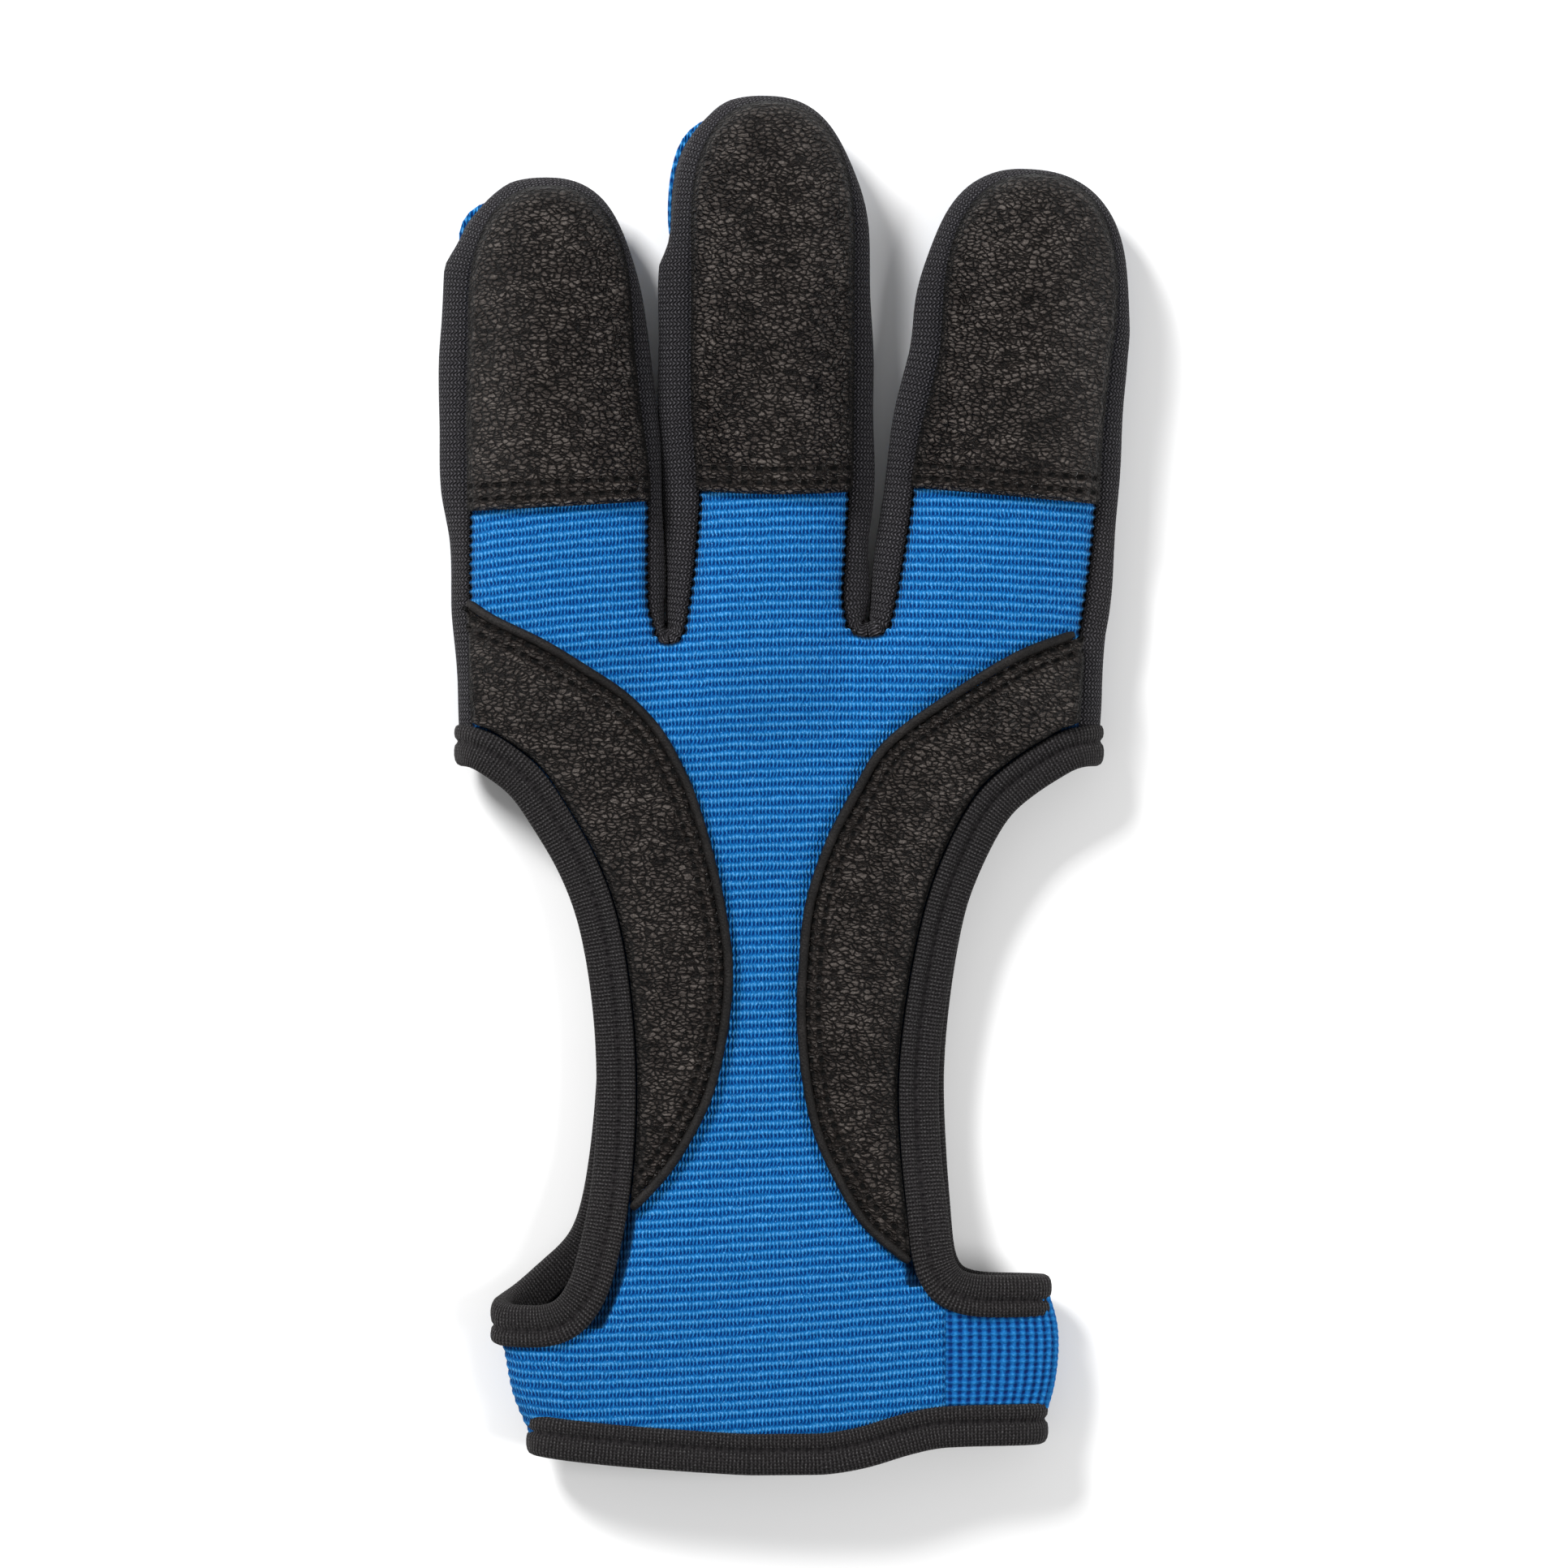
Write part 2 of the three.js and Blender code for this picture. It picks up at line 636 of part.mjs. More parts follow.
function backSheet() {
  const sheet = newSheet();
  back.fingers.forEach((rows) => addGrid(sheet, rows, true));
  [back.palm, back.wrist, back.leftEnd].forEach((rows) => addGrid(sheet, upward(rows), true));
  return sheet;
}

// Wrist elastic, from its seam on the front round the right end to its seam on the back
const elasticEnd = endColumns("right", END_TURNS);
const elasticRows = withColumn(
  besideColumn(seamColumn(front.wrist, -1, GAP), elasticEnd),
  seamColumn(back.wrist, -1, GAP),
);

function elasticSheet() {
  const sheet = newSheet();
  addGrid(sheet, upward(elasticRows));
  return sheet;
}

// Gussets, tucked under the edges of the front panel and over those of the back panel

// The seam of one finger, from the palm's left of it over the tip to its right.
function fingerSeam(panel, index) {
  const rows = panel.fingers[index];
  const side = (place) => rows.slice(0, -1).map((row) => row.at(place));
  return [...side(0), ...rows.at(-1), ...side(-1).reverse()];
}

// Below a finger the seam runs on: down the palm's side, or into the crotch between two fingers.
function seamRun(panel, index, side) {
  const outer = (index === 0 && side === "left") || (index === FINGERS.length - 1 && side === "right");
  const place = side === "left" ? 0 : -1;
  if (outer) return column(panel.palm.slice(1, CORNER_STEPS.length + 2), place);
  const first = index * (FINGER_COLUMNS.length + 1);
  const dip = side === "left" ? first - 1 : first + FINGER_COLUMNS.length;
  const aside = side === "left" ? GAP / 2 : -GAP / 2;
  return [panel.palm[0][dip].clone().setX(panel.palm[0][dip].x + aside)];
}

function seamBulges(index) {
  const finger = FINGERS[index];
  const steps = FINGER_STEPS.slice(0, -1);
  const side = (name) => steps.map((up) => read(finger.bulges, "up", name, up));
  const run = (name) => {
    const count = seamRun(front, index, name).length;
    const start = finger.bulges[0][name];
    const end = count > 1 ? CORNER_BULGES[name] : start;
    return Array.from({ length: count }, (_, step) => mix(start, end, (step + 1) / count));
  };
  const end = finger.bulges.at(-1);
  const tip = FINGER_COLUMNS.map((across) => mix(end.left, end.right, (across + 1) / 2));
  return [...run("left").reverse(), ...side("left"), ...tip, ...side("right").reverse(), ...run("right")];
}

function outwards(path, index) {
  const before = path[Math.max(index - 1, 0)];
  const after = path[Math.min(index + 1, path.length - 1)];
  return new THREE.Vector3(before.y - after.y, after.x - before.x, 0).normalize();
}

function gussetRows(index) {
  const seam = (panel) => [
    ...seamRun(panel, index, "left").reverse(),
    ...fingerSeam(panel, index),
    ...seamRun(panel, index, "right"),
  ];
  const upper = seam(front);
  const lower = seam(back);
  const bulges = seamBulges(index);
  const crotches = [index > 0 ? 0 : -1, index < FINGERS.length - 1 ? upper.length - 1 : -1];
  return upper.map((start, place) => {
    const out = crotches.includes(place) ? new THREE.Vector3(0, 1, 0) : outwards(upper, place);
    const high = start.z - PANEL_WALL - GAP;
    const low = lower[place].z + PANEL_WALL + GAP;
    return GUSSET_STEPS.map((down) => {
      const swell = (4 * down * (1 - down)) ** GUSSET_ROUNDNESS;
      const point = start.clone().lerp(lower[place], down);
      point.addScaledVector(out, GUSSET_BULGE * bulges[place] * swell);
      return point.setZ(mix(high, low, down));
    });
  });
}

function gussetSheet(rows) {
  const sheet = newSheet();
  addGrid(sheet, rows, true);
  return sheet;
}

// Bindings: a strip folded over an edge, as a closed ring

// The strip's section round a wall: across from its edge inwards, and out from its surface.
function bindingOutline({ wall, tuck, cover }) {
  const under = -wall - GAP;
  const low = under - BINDING_WALL;
  const groove = cover - GROOVE_INSET;
  return [
    [-GAP, low],
    [tuck, low],
    [tuck, under],
    [-GAP, under],
    [-GAP, GAP],
    [cover, GAP],
    [cover, BINDING_OUT],
    [groove + GROOVE_WIDTH / 2, BINDING_OUT],
    [groove, BINDING_OUT - GROOVE_DEPTH],
    [groove - GROOVE_WIDTH / 2, BINDING_OUT],
    [-GAP, BINDING_OUT],
    [-BINDING_OUT, 0],
    [-BINDING_OUT, -wall],
  ];
}

const PANEL_STRIP = { wall: PANEL_WALL, tuck: BINDING_TUCK, cover: BINDING_COVER };
const GUSSET_STRIP = { wall: GUSSET_WALL, tuck: CORNER_TUCK, cover: BINDING_COVER };
const CORNER_STRIP = {
  wall: PANEL_WALL + GAP + GUSSET_WALL,
  tuck: CORNER_TUCK,
  cover: BINDING_COVER,
};

// Stations on a sheet's edge. Where inner points are given, the strip reaches straight towards them.
function edgeStations(sheet, points, inner = [], strip = PANEL_STRIP) {
  const normals = sheetNormals(sheet);
  return points.map((point, index) => {
    const out = normals[addPoint(sheet, point)].clone();
    const towards = inner[index]?.clone().sub(point).normalize();
    if (towards) out.addScaledVector(towards, -out.dot(towards)).normalize();
    return { point, out, towards, strip };
  });
}

const CORNER_FAN = [0, 0.5, 0.9];

// The strip fans out where it turns from the panel's edge onto the end of the gusset.
function cornerStations(edge, next, above) {
  const straight = above.clone().sub(edge.point).normalize();
  const along = next.point.clone().sub(edge.point);
  const across = edge.out.clone().cross(along).normalize();
  if (across.y < 0) across.negate();
  return CORNER_FAN.map((share) => ({
    ...edge,
    strip: CORNER_STRIP,
    towards: straight.clone().lerp(across, share).normalize(),
    corner: true,
  }));
}

const SHARP_BEND = THREE.MathUtils.degToRad(35);
const BEND_SHARES = [0.05, 0.35, 0.65, 0.95];
const JOIN_DISTANCE = 3 * GAP;

// Two stations either side of a seam between pieces become one.
function joinStations(stations) {
  const joined = [];
  for (const station of stations) {
    const last = joined.at(-1);
    if (last && !last.corner && last.point.distanceTo(station.point) < JOIN_DISTANCE) {
      last.point = last.point.clone().lerp(station.point, 0.5);
      last.out = last.out.clone().add(station.out).normalize();
    } else {
      joined.push({ ...station });
    }
  }
  return joined;
}

// At a sharp bend the strip fans out, between the directions square to the edge before and after.
function bindingRing(stations) {
  const joined = joinStations(stations);
  const around = (index) => joined[(index + joined.length) % joined.length].point;
  const placed = joined.flatMap(({ point, out, towards, strip }, index) => {
    const place = (direction) => {
      const into = direction.clone().addScaledVector(out, -direction.dot(out)).normalize();
      return { point, out, into, outline: bindingOutline(strip) };
    };
    if (towards) return [place(towards)];
    const before = out.clone().cross(point.clone().sub(around(index - 1))).normalize();
    const after = out.clone().cross(around(index + 1).clone().sub(point)).normalize();
    const shares = before.angleTo(after) > SHARP_BEND ? BEND_SHARES : [0.5];
    return shares.map((share) => place(before.clone().lerp(after, share)));
  });
  return sweep(placed, true);
}

const sheets = {
  front: frontSheet(),
  back: backSheet(),
  elastic: elasticSheet(),
  gussets: FINGERS.map((_, index) => gussetRows(index)),
};

function openingRing(side) {
  const left = side === "left";
  const place = left ? 0 : -1;
  const firstRow = CORNER_STEPS.length + 1;
  const frontEdge = edgeStations(sheets.front, column(front.palm.slice(firstRow), place));
  const backEdge = edgeStations(sheets.back, column(back.palm.slice(firstRow), place));
  const band = left ? turnedRound(front.leftEnd) : elasticRows;
  const end = edgeStations(left ? sheets.front : sheets.elastic, band[0], band[1]);
  const gusset = left ? sheets.gussets[0] : [...sheets.gussets.at(-1)].reverse();
  const [rim, inner] = gusset.map((row) => row.slice(1, -1));
  const gussetEnd = edgeStations(gussetSheet(gusset), rim, inner, GUSSET_STRIP);
  if (!left) gussetEnd.forEach(({ out }) => out.negate());
  const stations = [
    ...cornerStations(frontEdge[0], frontEdge[1], front.palm[firstRow - 1].at(place)),
    ...frontEdge.slice(1),
    ...end,
    ...backEdge.slice(1).reverse(),
    ...cornerStations(backEdge[0], backEdge[1], back.palm[firstRow - 1].at(place)).reverse(),
    ...gussetEnd.reverse(),
  ];
  return bindingRing(left ? stations : stations.reverse());
}

function hemRing() {
  const backWrist = turnedRound(back.wrist);
  const stations = (sheet, rows) => edgeStations(sheet, rows.at(-1), rows.at(-2));
  return bindingRing([
    ...stations(sheets.front, front.leftEnd),
    ...stations(sheets.front, front.wrist),
    ...stations(sheets.elastic, elasticRows),
    ...stations(sheets.back, backWrist),
  ]);
}

// Leather tips, cut from the same rows as the panel below them

function leatherTip(index) {
  const finger = FINGERS[index];
  const rows = front.fingers[index];
  const low = 1 - finger.leather / finger.length;
  const first = FINGER_STEPS.findIndex((up) => up > low + LEATHER_ROW_SPACE);
  const edge = FINGER_COLUMNS.map((across) => fingerPoint(finger, low, across));
  const sheet = newSheet();
  addGrid(sheet, [edge, ...rows.slice(first)]);
  return thicken(sheet, GAP, GAP + LEATHER_WALL);
}

// Palm patches and their piping

// A line moved sideways by a distance, towards the side opening when it is positive.
function moved(line, side, distance) {
  return line.map((point, index) => (
    point.clone().addScaledVector(outwards(line, index), SIDE_SIGN[side] * distance)));
}

// Where a line that runs down the palm crosses a level.
function crossing(line, y) {
  if (y >= line[0].y) return line[0].x;
  const index = line.findIndex((point) => point.y <= y);
  if (index < 0) return line.at(-1).x;
  const share = (line[index - 1].y - y) / (line[index - 1].y - line[index].y);
  return mix(line[index - 1].x, line[index].x, share);
}

// The curved edge between a patch and its piping, set in from the table's line.
function patchCurve(side, inset) {
  const table = PATCH_EDGES[side];
  const line = Array.from({ length: PATCH_SAMPLES + 1 }, (_, step) => {
    const down = mix(table[0].down, table.at(-1).down, step / PATCH_SAMPLES);
    const across = read(table, "down", "across", down);
    return new THREE.Vector3(PALM_WIDTH / 2 * across, CORNER_Y - OPENING_LENGTH * down, 0);
  });
  const cover = coverLine(side);
  const room = ({ x, y }) => (patchOuter(side, y, cover) - x) * SIDE_SIGN[side];
  return moved(line, side, inset).filter((point) => room(point) > PATCH_TIP);
}

function seamAt(side, y) {
  const finger = side === "left" ? FINGERS[0] : FINGERS.at(-1);
  const up = Math.max((y - CROTCH_Y) / finger.length, 0);
  const seam = fingerMiddle(finger, up) + SIDE_SIGN[side] * fingerHalf(finger, up);
  return mix(seam, palmEdge(side, 0), THREE.MathUtils.clamp((CROTCH_Y - y) / CORNER_LENGTH, 0, 1));
}

// The patch's outer edge: along the seam beside the finger's base, then along the binding.
function patchOuter(side, y, cover) {
  const inset = -SIDE_SIGN[side] * OVERLAY_GAP;
  return inset + (y > cover[0].y ? seamAt(side, y) : crossing(cover, y));
}

// The line of the binding's inner edge, round its corner and down the opening.
function coverLine(side) {
  const edge = column(front.palm.slice(CORNER_STEPS.length + 1), side === "left" ? 0 : -1);
  const reach = BINDING_COVER + GAP;
  const corner = edge[0].clone().setY(edge[0].y + reach);
  return [corner, ...moved(edge, side, -reach).map((p) => p.setZ(0))].sort((a, b) => b.y - a.y);
}

function patchSheet(side) {
  const cover = coverLine(side);
  const edge = patchCurve(side, 2 * PIPING_RADIUS + GAP);
  const bends = cover.slice(0, 3).map(({ y }) => y);
  const levels = Array.from({ length: PATCH_ROWS + 1 }, (_, step) => (
    mix(edge.at(-1).y, edge[0].y, (1 - Math.cos(Math.PI * step / PATCH_ROWS)) / 2)));
  const apart = levels.filter((y) => bends.every((bend) => Math.abs(y - bend) > PATCH_ROW_SPACE));
  const rows = [...apart, ...bends].sort((a, b) => a - b).map((y) => {
    const [outer, inner] = [patchOuter(side, y, cover), crossing(edge, y)];
    return Array.from({ length: PATCH_COLUMNS + 1 }, (_, place) => {
      const x = mix(outer, inner, place / PATCH_COLUMNS);
      return new THREE.Vector3(x, y, frontHeight(x, y));
    });
  });
  const sheet = newSheet();
  addGrid(sheet, rows, side === "right");
  return sheet;
}

function makePiping(side) {
  const curve = patchCurve(side, PIPING_RADIUS);
  const stations = Array.from({ length: PIPING_STATIONS }, (_, step) => (
    curve[Math.round(step * (curve.length - 1) / (PIPING_STATIONS - 1))]));
  const lift = PIPING_RADIUS + PIPING_GAP;
  stations.forEach((point) => point.setZ(frontHeight(point.x, point.y) + lift));
  const outline = Array.from({ length: PIPING_SIDES }, (_, step) => {
    const angle = 2 * Math.PI * step / PIPING_SIDES;
    return [PIPING_RADIUS * Math.cos(angle), PIPING_RADIUS * Math.sin(angle)];
  });
  return sweep(stations.map((point, index) => {
    const along = stations[Math.min(index + 1, stations.length - 1)].clone();
    along.sub(stations[Math.max(index - 1, 0)]).normalize();
    const out = new THREE.Vector3(0, 0, 1).addScaledVector(along, -along.z).normalize();
    return { point, out, into: out.clone().cross(along), outline };
  }), false);
}

// Assembly

const MATERIALS = {
  knit: { color: 0x1ea6f2, roughness: 0.9 },
  waffle: { color: 0x1b95e6, roughness: 0.9 },
  mesh: { color: 0x1c1b1d, roughness: 0.85 },
  leather: { color: 0x3a302c, roughness: 0.6 },
  binding: { color: 0x3b3937, roughness: 0.95 },
};

function piece(name, geometry, slot) {
  const material = new THREE.MeshStandardMaterial({ ...MATERIALS[slot], metalness: 0 });
  const mesh = new THREE.Mesh(geometry, material);
  mesh.name = name;
  return mesh;
}

const glove = new THREE.Group();
glove.add(piece("palm_panel", thicken(sheets.front, -PANEL_WALL, 0), "knit"));
glove.add(piece("back_panel", thicken(sheets.back, -PANEL_WALL, 0), "knit"));
glove.add(piece("wrist_elastic", thicken(sheets.elastic, -PANEL_WALL, 0), "waffle"));
FINGERS.forEach((finger, index) => {
  const gusset = thicken(gussetSheet(sheets.gussets[index]), -GUSSET_WALL, 0);
  glove.add(piece(`gusset_${finger.name}`, gusset, "mesh"));
  glove.add(piece(`leather_tip_${finger.name}`, leatherTip(index), "leather"));
});
for (const side of Object.keys(SIDE_SIGN)) {
  const patch = thicken(patchSheet(side), OVERLAY_GAP, OVERLAY_GAP + LEATHER_WALL);
  glove.add(piece(`palm_patch_${side}`, patch, "leather"));
  glove.add(piece(`patch_piping_${side}`, makePiping(side), "leather"));
  glove.add(piece(`opening_binding_${side}`, openingRing(side), "binding"));
}
glove.add(piece("wrist_hem_binding", hemRing(), "binding"));

// The origin is the middle of the glove's length and width, on the surface it lies on.
const bounds = new THREE.Box3().setFromObject(glove);
const centre = bounds.getCenter(new THREE.Vector3());
glove.position.set(-centre.x, -centre.y, -bounds.min.z);

export default glove;
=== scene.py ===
import math
from functools import partial
import bpy
import numpy as np
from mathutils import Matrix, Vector


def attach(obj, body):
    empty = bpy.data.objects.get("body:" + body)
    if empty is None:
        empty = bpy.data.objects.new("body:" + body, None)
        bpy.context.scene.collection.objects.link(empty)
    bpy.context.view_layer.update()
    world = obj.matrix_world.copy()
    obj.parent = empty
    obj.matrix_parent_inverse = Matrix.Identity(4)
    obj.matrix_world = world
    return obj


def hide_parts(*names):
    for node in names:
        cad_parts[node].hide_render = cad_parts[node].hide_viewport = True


# Three-finger archery glove, lying palm up: cloth, leather, trim, light and camera.
# Shapes are worked out in millimetres from the hem's level, then placed in the model's frame.

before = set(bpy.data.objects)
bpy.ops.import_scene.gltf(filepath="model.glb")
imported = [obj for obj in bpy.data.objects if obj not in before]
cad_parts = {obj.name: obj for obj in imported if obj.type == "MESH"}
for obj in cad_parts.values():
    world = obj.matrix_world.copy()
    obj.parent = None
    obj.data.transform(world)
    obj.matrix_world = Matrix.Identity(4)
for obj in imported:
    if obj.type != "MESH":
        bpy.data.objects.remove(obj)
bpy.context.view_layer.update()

MILLIMETRE = 0.001
PLACE = np.array([-1.364, -101.959, 0.0])

# Sizes shared with the solids
WRIST_WIDTH = 87
WRIST_DEPTH = 12.5
WRIST_HEIGHT_LEFT = 18.6
WRIST_HEIGHT_RIGHT = 23.7
BACK_RISE_LEFT = 11.5
HEM_SAG = 4.7
PALM_WIDTH = 94.4
PALM_DEPTH = 12.5
NECK_WIDTH = 50.7
NECK_SHIFT = -1.2
OPENING_LENGTH = 82.5
CORNER_LENGTH = 19.6
FINGER_SEAM_HEIGHT = 11.5
FINGER_CROWN = 4.2
BACK_SEAM_HEIGHT = 2.2
SEAM_LIFT_RUN = 7
LEVEL_RUN = 8
BOUND_EDGE_LIFT = 1.6
FINGER_ROLL = 1.1
GUSSET_BULGE = 4.6
GUSSET_ROUNDNESS = 0.85
TIP_SQUARENESS = 2.4
LOOP_ACROSS = 5
LOOP_UP = 2.2
GAP = 0.3
BINDING_COVER = 5
CORNER_Y = WRIST_HEIGHT_RIGHT + OPENING_LENGTH
CROTCH_Y = CORNER_Y + CORNER_LENGTH

# Knit
RIB = 1.45
RIB_DEPTH = 0.22
ROWS_PER_RIB = 4
WALE = 0.57
WAFFLE_ROW = 1.08
MESH_COLUMN = 0.62
MESH_ROW = 0.66
TAPE_COURSE = 0.6
TAPE_LOOP = 0.5

# How far the panels' edges dip at each crotch, less than in the solids
CROTCH_DIP = 1.2

# Stitch rows, by their distance from the leather's edge
TIP_STITCH_ROWS = (1.7, 3.75)
PATCH_STITCH_ROWS = (0.45, 2.1)
STITCH_PITCH = 2.2


def columns(names, rows):
    """A table as one array for each named column; the first is the one it is read by."""
    return dict(zip(names.split(), np.array(rows, float).T))


FINGERS = [
    dict(
        name="left", length=69, width=28, base=-33.8, round=21, leather=49.5, slant=0.8, sag=0.2,
        rows=columns("up shift half", [
            (0, 0.03, 0.516), (0.07, 0, 0.505), (0.33, 0, 0.5), (0.51, -0.029, 0.473),
            (0.7, -0.046, 0.446), (1, -0.057, 0.446),
        ]),
        bulges=columns("up left right", [
            (0, 0.54, 0.42), (0.08, 0.48, 0.63), (0.2, 0.58, 0.59), (0.32, 0.86, 0.56),
            (0.47, 0.95, 0.7), (0.62, 0.96, 0.72), (0.75, 0.92, 0.54), (0.9, 0.98, 0.39), (1, 0.6, 0.42),
        ]),
    ),
    dict(
        name="middle", length=82.2, width=24.7, base=-1, round=21, leather=60.3, slant=-0.1, sag=0.7,
        rows=columns("up shift half", [
            (0, -0.016, 0.53), (0.06, -0.016, 0.494), (0.14, 0.008, 0.484), (0.27, 0.035, 0.48),
            (0.43, 0.024, 0.5), (0.74, 0.026, 0.502), (1, 0.01, 0.515),
        ]),
        bulges=columns("up left right", [
            (0, 0.42, 0.58), (0.07, 0.69, 0.95), (0.15, 0.87, 0.86), (0.27, 1.14, 0.92),
            (0.45, 1.08, 0.87), (0.65, 1.1, 0.76), (0.8, 0.92, 0.62), (0.92, 0.95, 0.34), (1, 0.6, 0.25),
        ]),
    ),
    dict(
        name="right", length=70.8, width=29.4, base=35, round=21, leather=49.7, slant=-1.3, sag=0.1,
        rows=columns("up shift half", [
            (0, -0.082, 0.517), (0.06, -0.051, 0.51), (0.23, 0.01, 0.5), (0.41, 0.054, 0.48),
            (0.6, 0.133, 0.446), (0.68, 0.158, 0.45), (1, 0.19, 0.46),
        ]),
        bulges=columns("up left right", [
            (0, 0.52, 1), (0.08, 0.76, 0.96), (0.24, 0.83, 0.86), (0.4, 0.88, 0.88),
            (0.57, 1.01, 0.82), (0.72, 0.88, 0.64), (0.84, 0.66, 0.56), (0.95, 0.6, 0.42), (1, 0.5, 0.3),
        ]),
    ),
]
CORNER_BULGES = dict(left=0.44, right=0.72)

# Where a finger is rolled to its left, so that a strip of its back panel shows beyond the gusset
ROLLED = dict(
    left=columns("up amount", [(0.82, 0), (0.87, 0.8), (0.93, 1), (0.97, 0.6), (0.99, 0)]),
    middle=columns("up amount", [(0.7, 0), (0.76, 0.8), (0.88, 1), (0.96, 0.8), (0.99, 0)]),
)
ROLLED_RIM = 0.64

NARROWING = columns("down left right back_left back_right", [
    (0, 0, 0, 0, 0), (0.05, 0.3, 0.29, 0.3, 0.29), (0.1, 0.46, 0.5, 0.46, 0.5),
    (0.2, 0.71, 0.7, 0.71, 0.7), (0.3, 0.865, 0.83, 0.865, 0.82), (0.45, 0.97, 0.94, 0.97, 0.915),
    (0.6, 1, 1, 1, 0.96), (0.75, 0.97, 0.985, 0.97, 0.945), (0.9, 0.87, 0.925, 0.9, 0.905),
    (1, 0.7, 0.9, 0.82, 0.88),
])
PALM_HEIGHTS = columns("down edge crown", [
    (-0.24, 0.92, 1.08), (0, 0.87, 1), (0.3, 0.66, 0.9), (0.6, 0.61, 0.84), (0.85, 0.7, 0.92), (1, 0.8, 1),
])
WRIST_ENDS = columns("down left right", [
    (0, -1.02, 0.978), (0.3, -0.98, 1.02), (0.65, -0.945, 1.01), (1, -0.87, 0.955),
])
HEM = columns("across drop", [
    (-1, 0.2), (-0.75, 0.5), (-0.45, 0.75), (0, 1), (0.15, 0.97), (0.32, 0.72),
    (0.47, 0.3), (0.6, 0.05), (1, 0),
])
PATCH_EDGES = dict(
    left=columns("down across", [
        (-0.3, -1.01), (-0.268, -0.928), (-0.222, -0.763), (-0.175, -0.627), (-0.129, -0.505),
        (-0.082, -0.416), (-0.036, -0.354), (0.011, -0.31), (0.06, -0.27),
        (0.16, -0.214), (0.28, -0.165), (0.4, -0.139), (0.52, -0.156), (0.64, -0.205), (0.72, -0.27),
        (0.79, -0.348), (0.86, -0.46), (0.9, -0.53),
    ]),
    right=columns("down across", [
        (-0.24, 0.98), (-0.2, 0.8), (-0.12, 0.57), (-0.03, 0.36), (0.06, 0.257), (0.16, 0.166),
        (0.28, 0.098), (0.4, 0.076), (0.5, 0.071), (0.62, 0.09), (0.72, 0.13), (0.81, 0.202),
        (0.89, 0.29), (0.96, 0.43), (1, 0.53),
    ]),
)
SIGN = dict(left=-1, right=1)


# Values between rows

def mix(a, b, share):
    return a + (b - a) * share


def smooth(start, end, value):
    share = np.clip((value - start) / (end - start), 0, 1)
    return share * share * (3 - 2 * share)


def read(table, column, at):
    """A smooth curve through a table's rows; outside them the end value holds."""
    keys = next(iter(table.values()))
    values = table[column]
    slopes = np.empty_like(values)
    slopes[1:-1] = (values[2:] - values[:-2]) / (keys[2:] - keys[:-2])
    slopes[0] = (values[1] - values[0]) / (keys[1] - keys[0])
    slopes[-1] = (values[-1] - values[-2]) / (keys[-1] - keys[-2])
    at = np.clip(at, keys[0], keys[-1])
    index = np.clip(np.searchsorted(keys, at, side="right") - 1, 0, len(keys) - 2)
    span = keys[index + 1] - keys[index]
    u = (at - keys[index]) / span
    first = 2 * u ** 3 - 3 * u ** 2 + 1
    slope_part = (u ** 3 - 2 * u ** 2 + u) * slopes[index] + (u ** 3 - u ** 2) * slopes[index + 1]
    return first * values[index] + (1 - first) * values[index + 1] + slope_part * span


def unit(vectors):
    return vectors / np.maximum(np.linalg.norm(vectors, axis=-1, keepdims=True), 1e-9)


def run_lengths(line):
    """How far along a line each of its points is."""
    steps = np.linalg.norm(np.diff(line, axis=0), axis=1)
    return np.concatenate([[0], np.cumsum(steps)])


# The glove's outer surface

def round_off(share):
    share = np.clip(share, 0, 1)
    return (1 - share ** TIP_SQUARENESS) ** (1 / TIP_SQUARENESS)


def round_share(finger, up):
    return 1 - (1 - up) * finger["length"] / finger["round"]


def finger_middle(finger, up):
    return finger["base"] + finger["width"] * read(finger["rows"], "shift", up)


def finger_full(finger, up):
    return finger["width"] * read(finger["rows"], "half", up)


def finger_half(finger, up):
    return finger_full(finger, up) * round_off(round_share(finger, up))


def finger_height(finger, up, across):
    fade = round_off(round_share(finger, up)) ** 0.8
    return FINGER_SEAM_HEIGHT + FINGER_CROWN * fade * (1 - np.minimum(np.abs(across), 1) ** 2.2)


def wrist_top(x):
    share = np.clip((x + PALM_WIDTH / 2) / PALM_WIDTH, 0, 1)
    return mix(WRIST_HEIGHT_LEFT, WRIST_HEIGHT_RIGHT, smooth(0.2, 0.8, share))


def wrist_top_back(x):
    lobe = smooth(-WRIST_WIDTH / 2, -WRIST_WIDTH / 3, x)
    fade = 1 - smooth(-NECK_WIDTH / 2, NECK_WIDTH / 2, x)
    return wrist_top(x) + BACK_RISE_LEFT * mix(0.2, 1, lobe) * fade


def hem_line(x):
    return -HEM_SAG * read(HEM, "drop", x / (WRIST_WIDTH / 2))


def palm_edge(side, down, column=None):
    neck = SIGN[side] * NECK_WIDTH / 2 + NECK_SHIFT
    return mix(SIGN[side] * PALM_WIDTH / 2, neck, read(NARROWING, column or side, down))


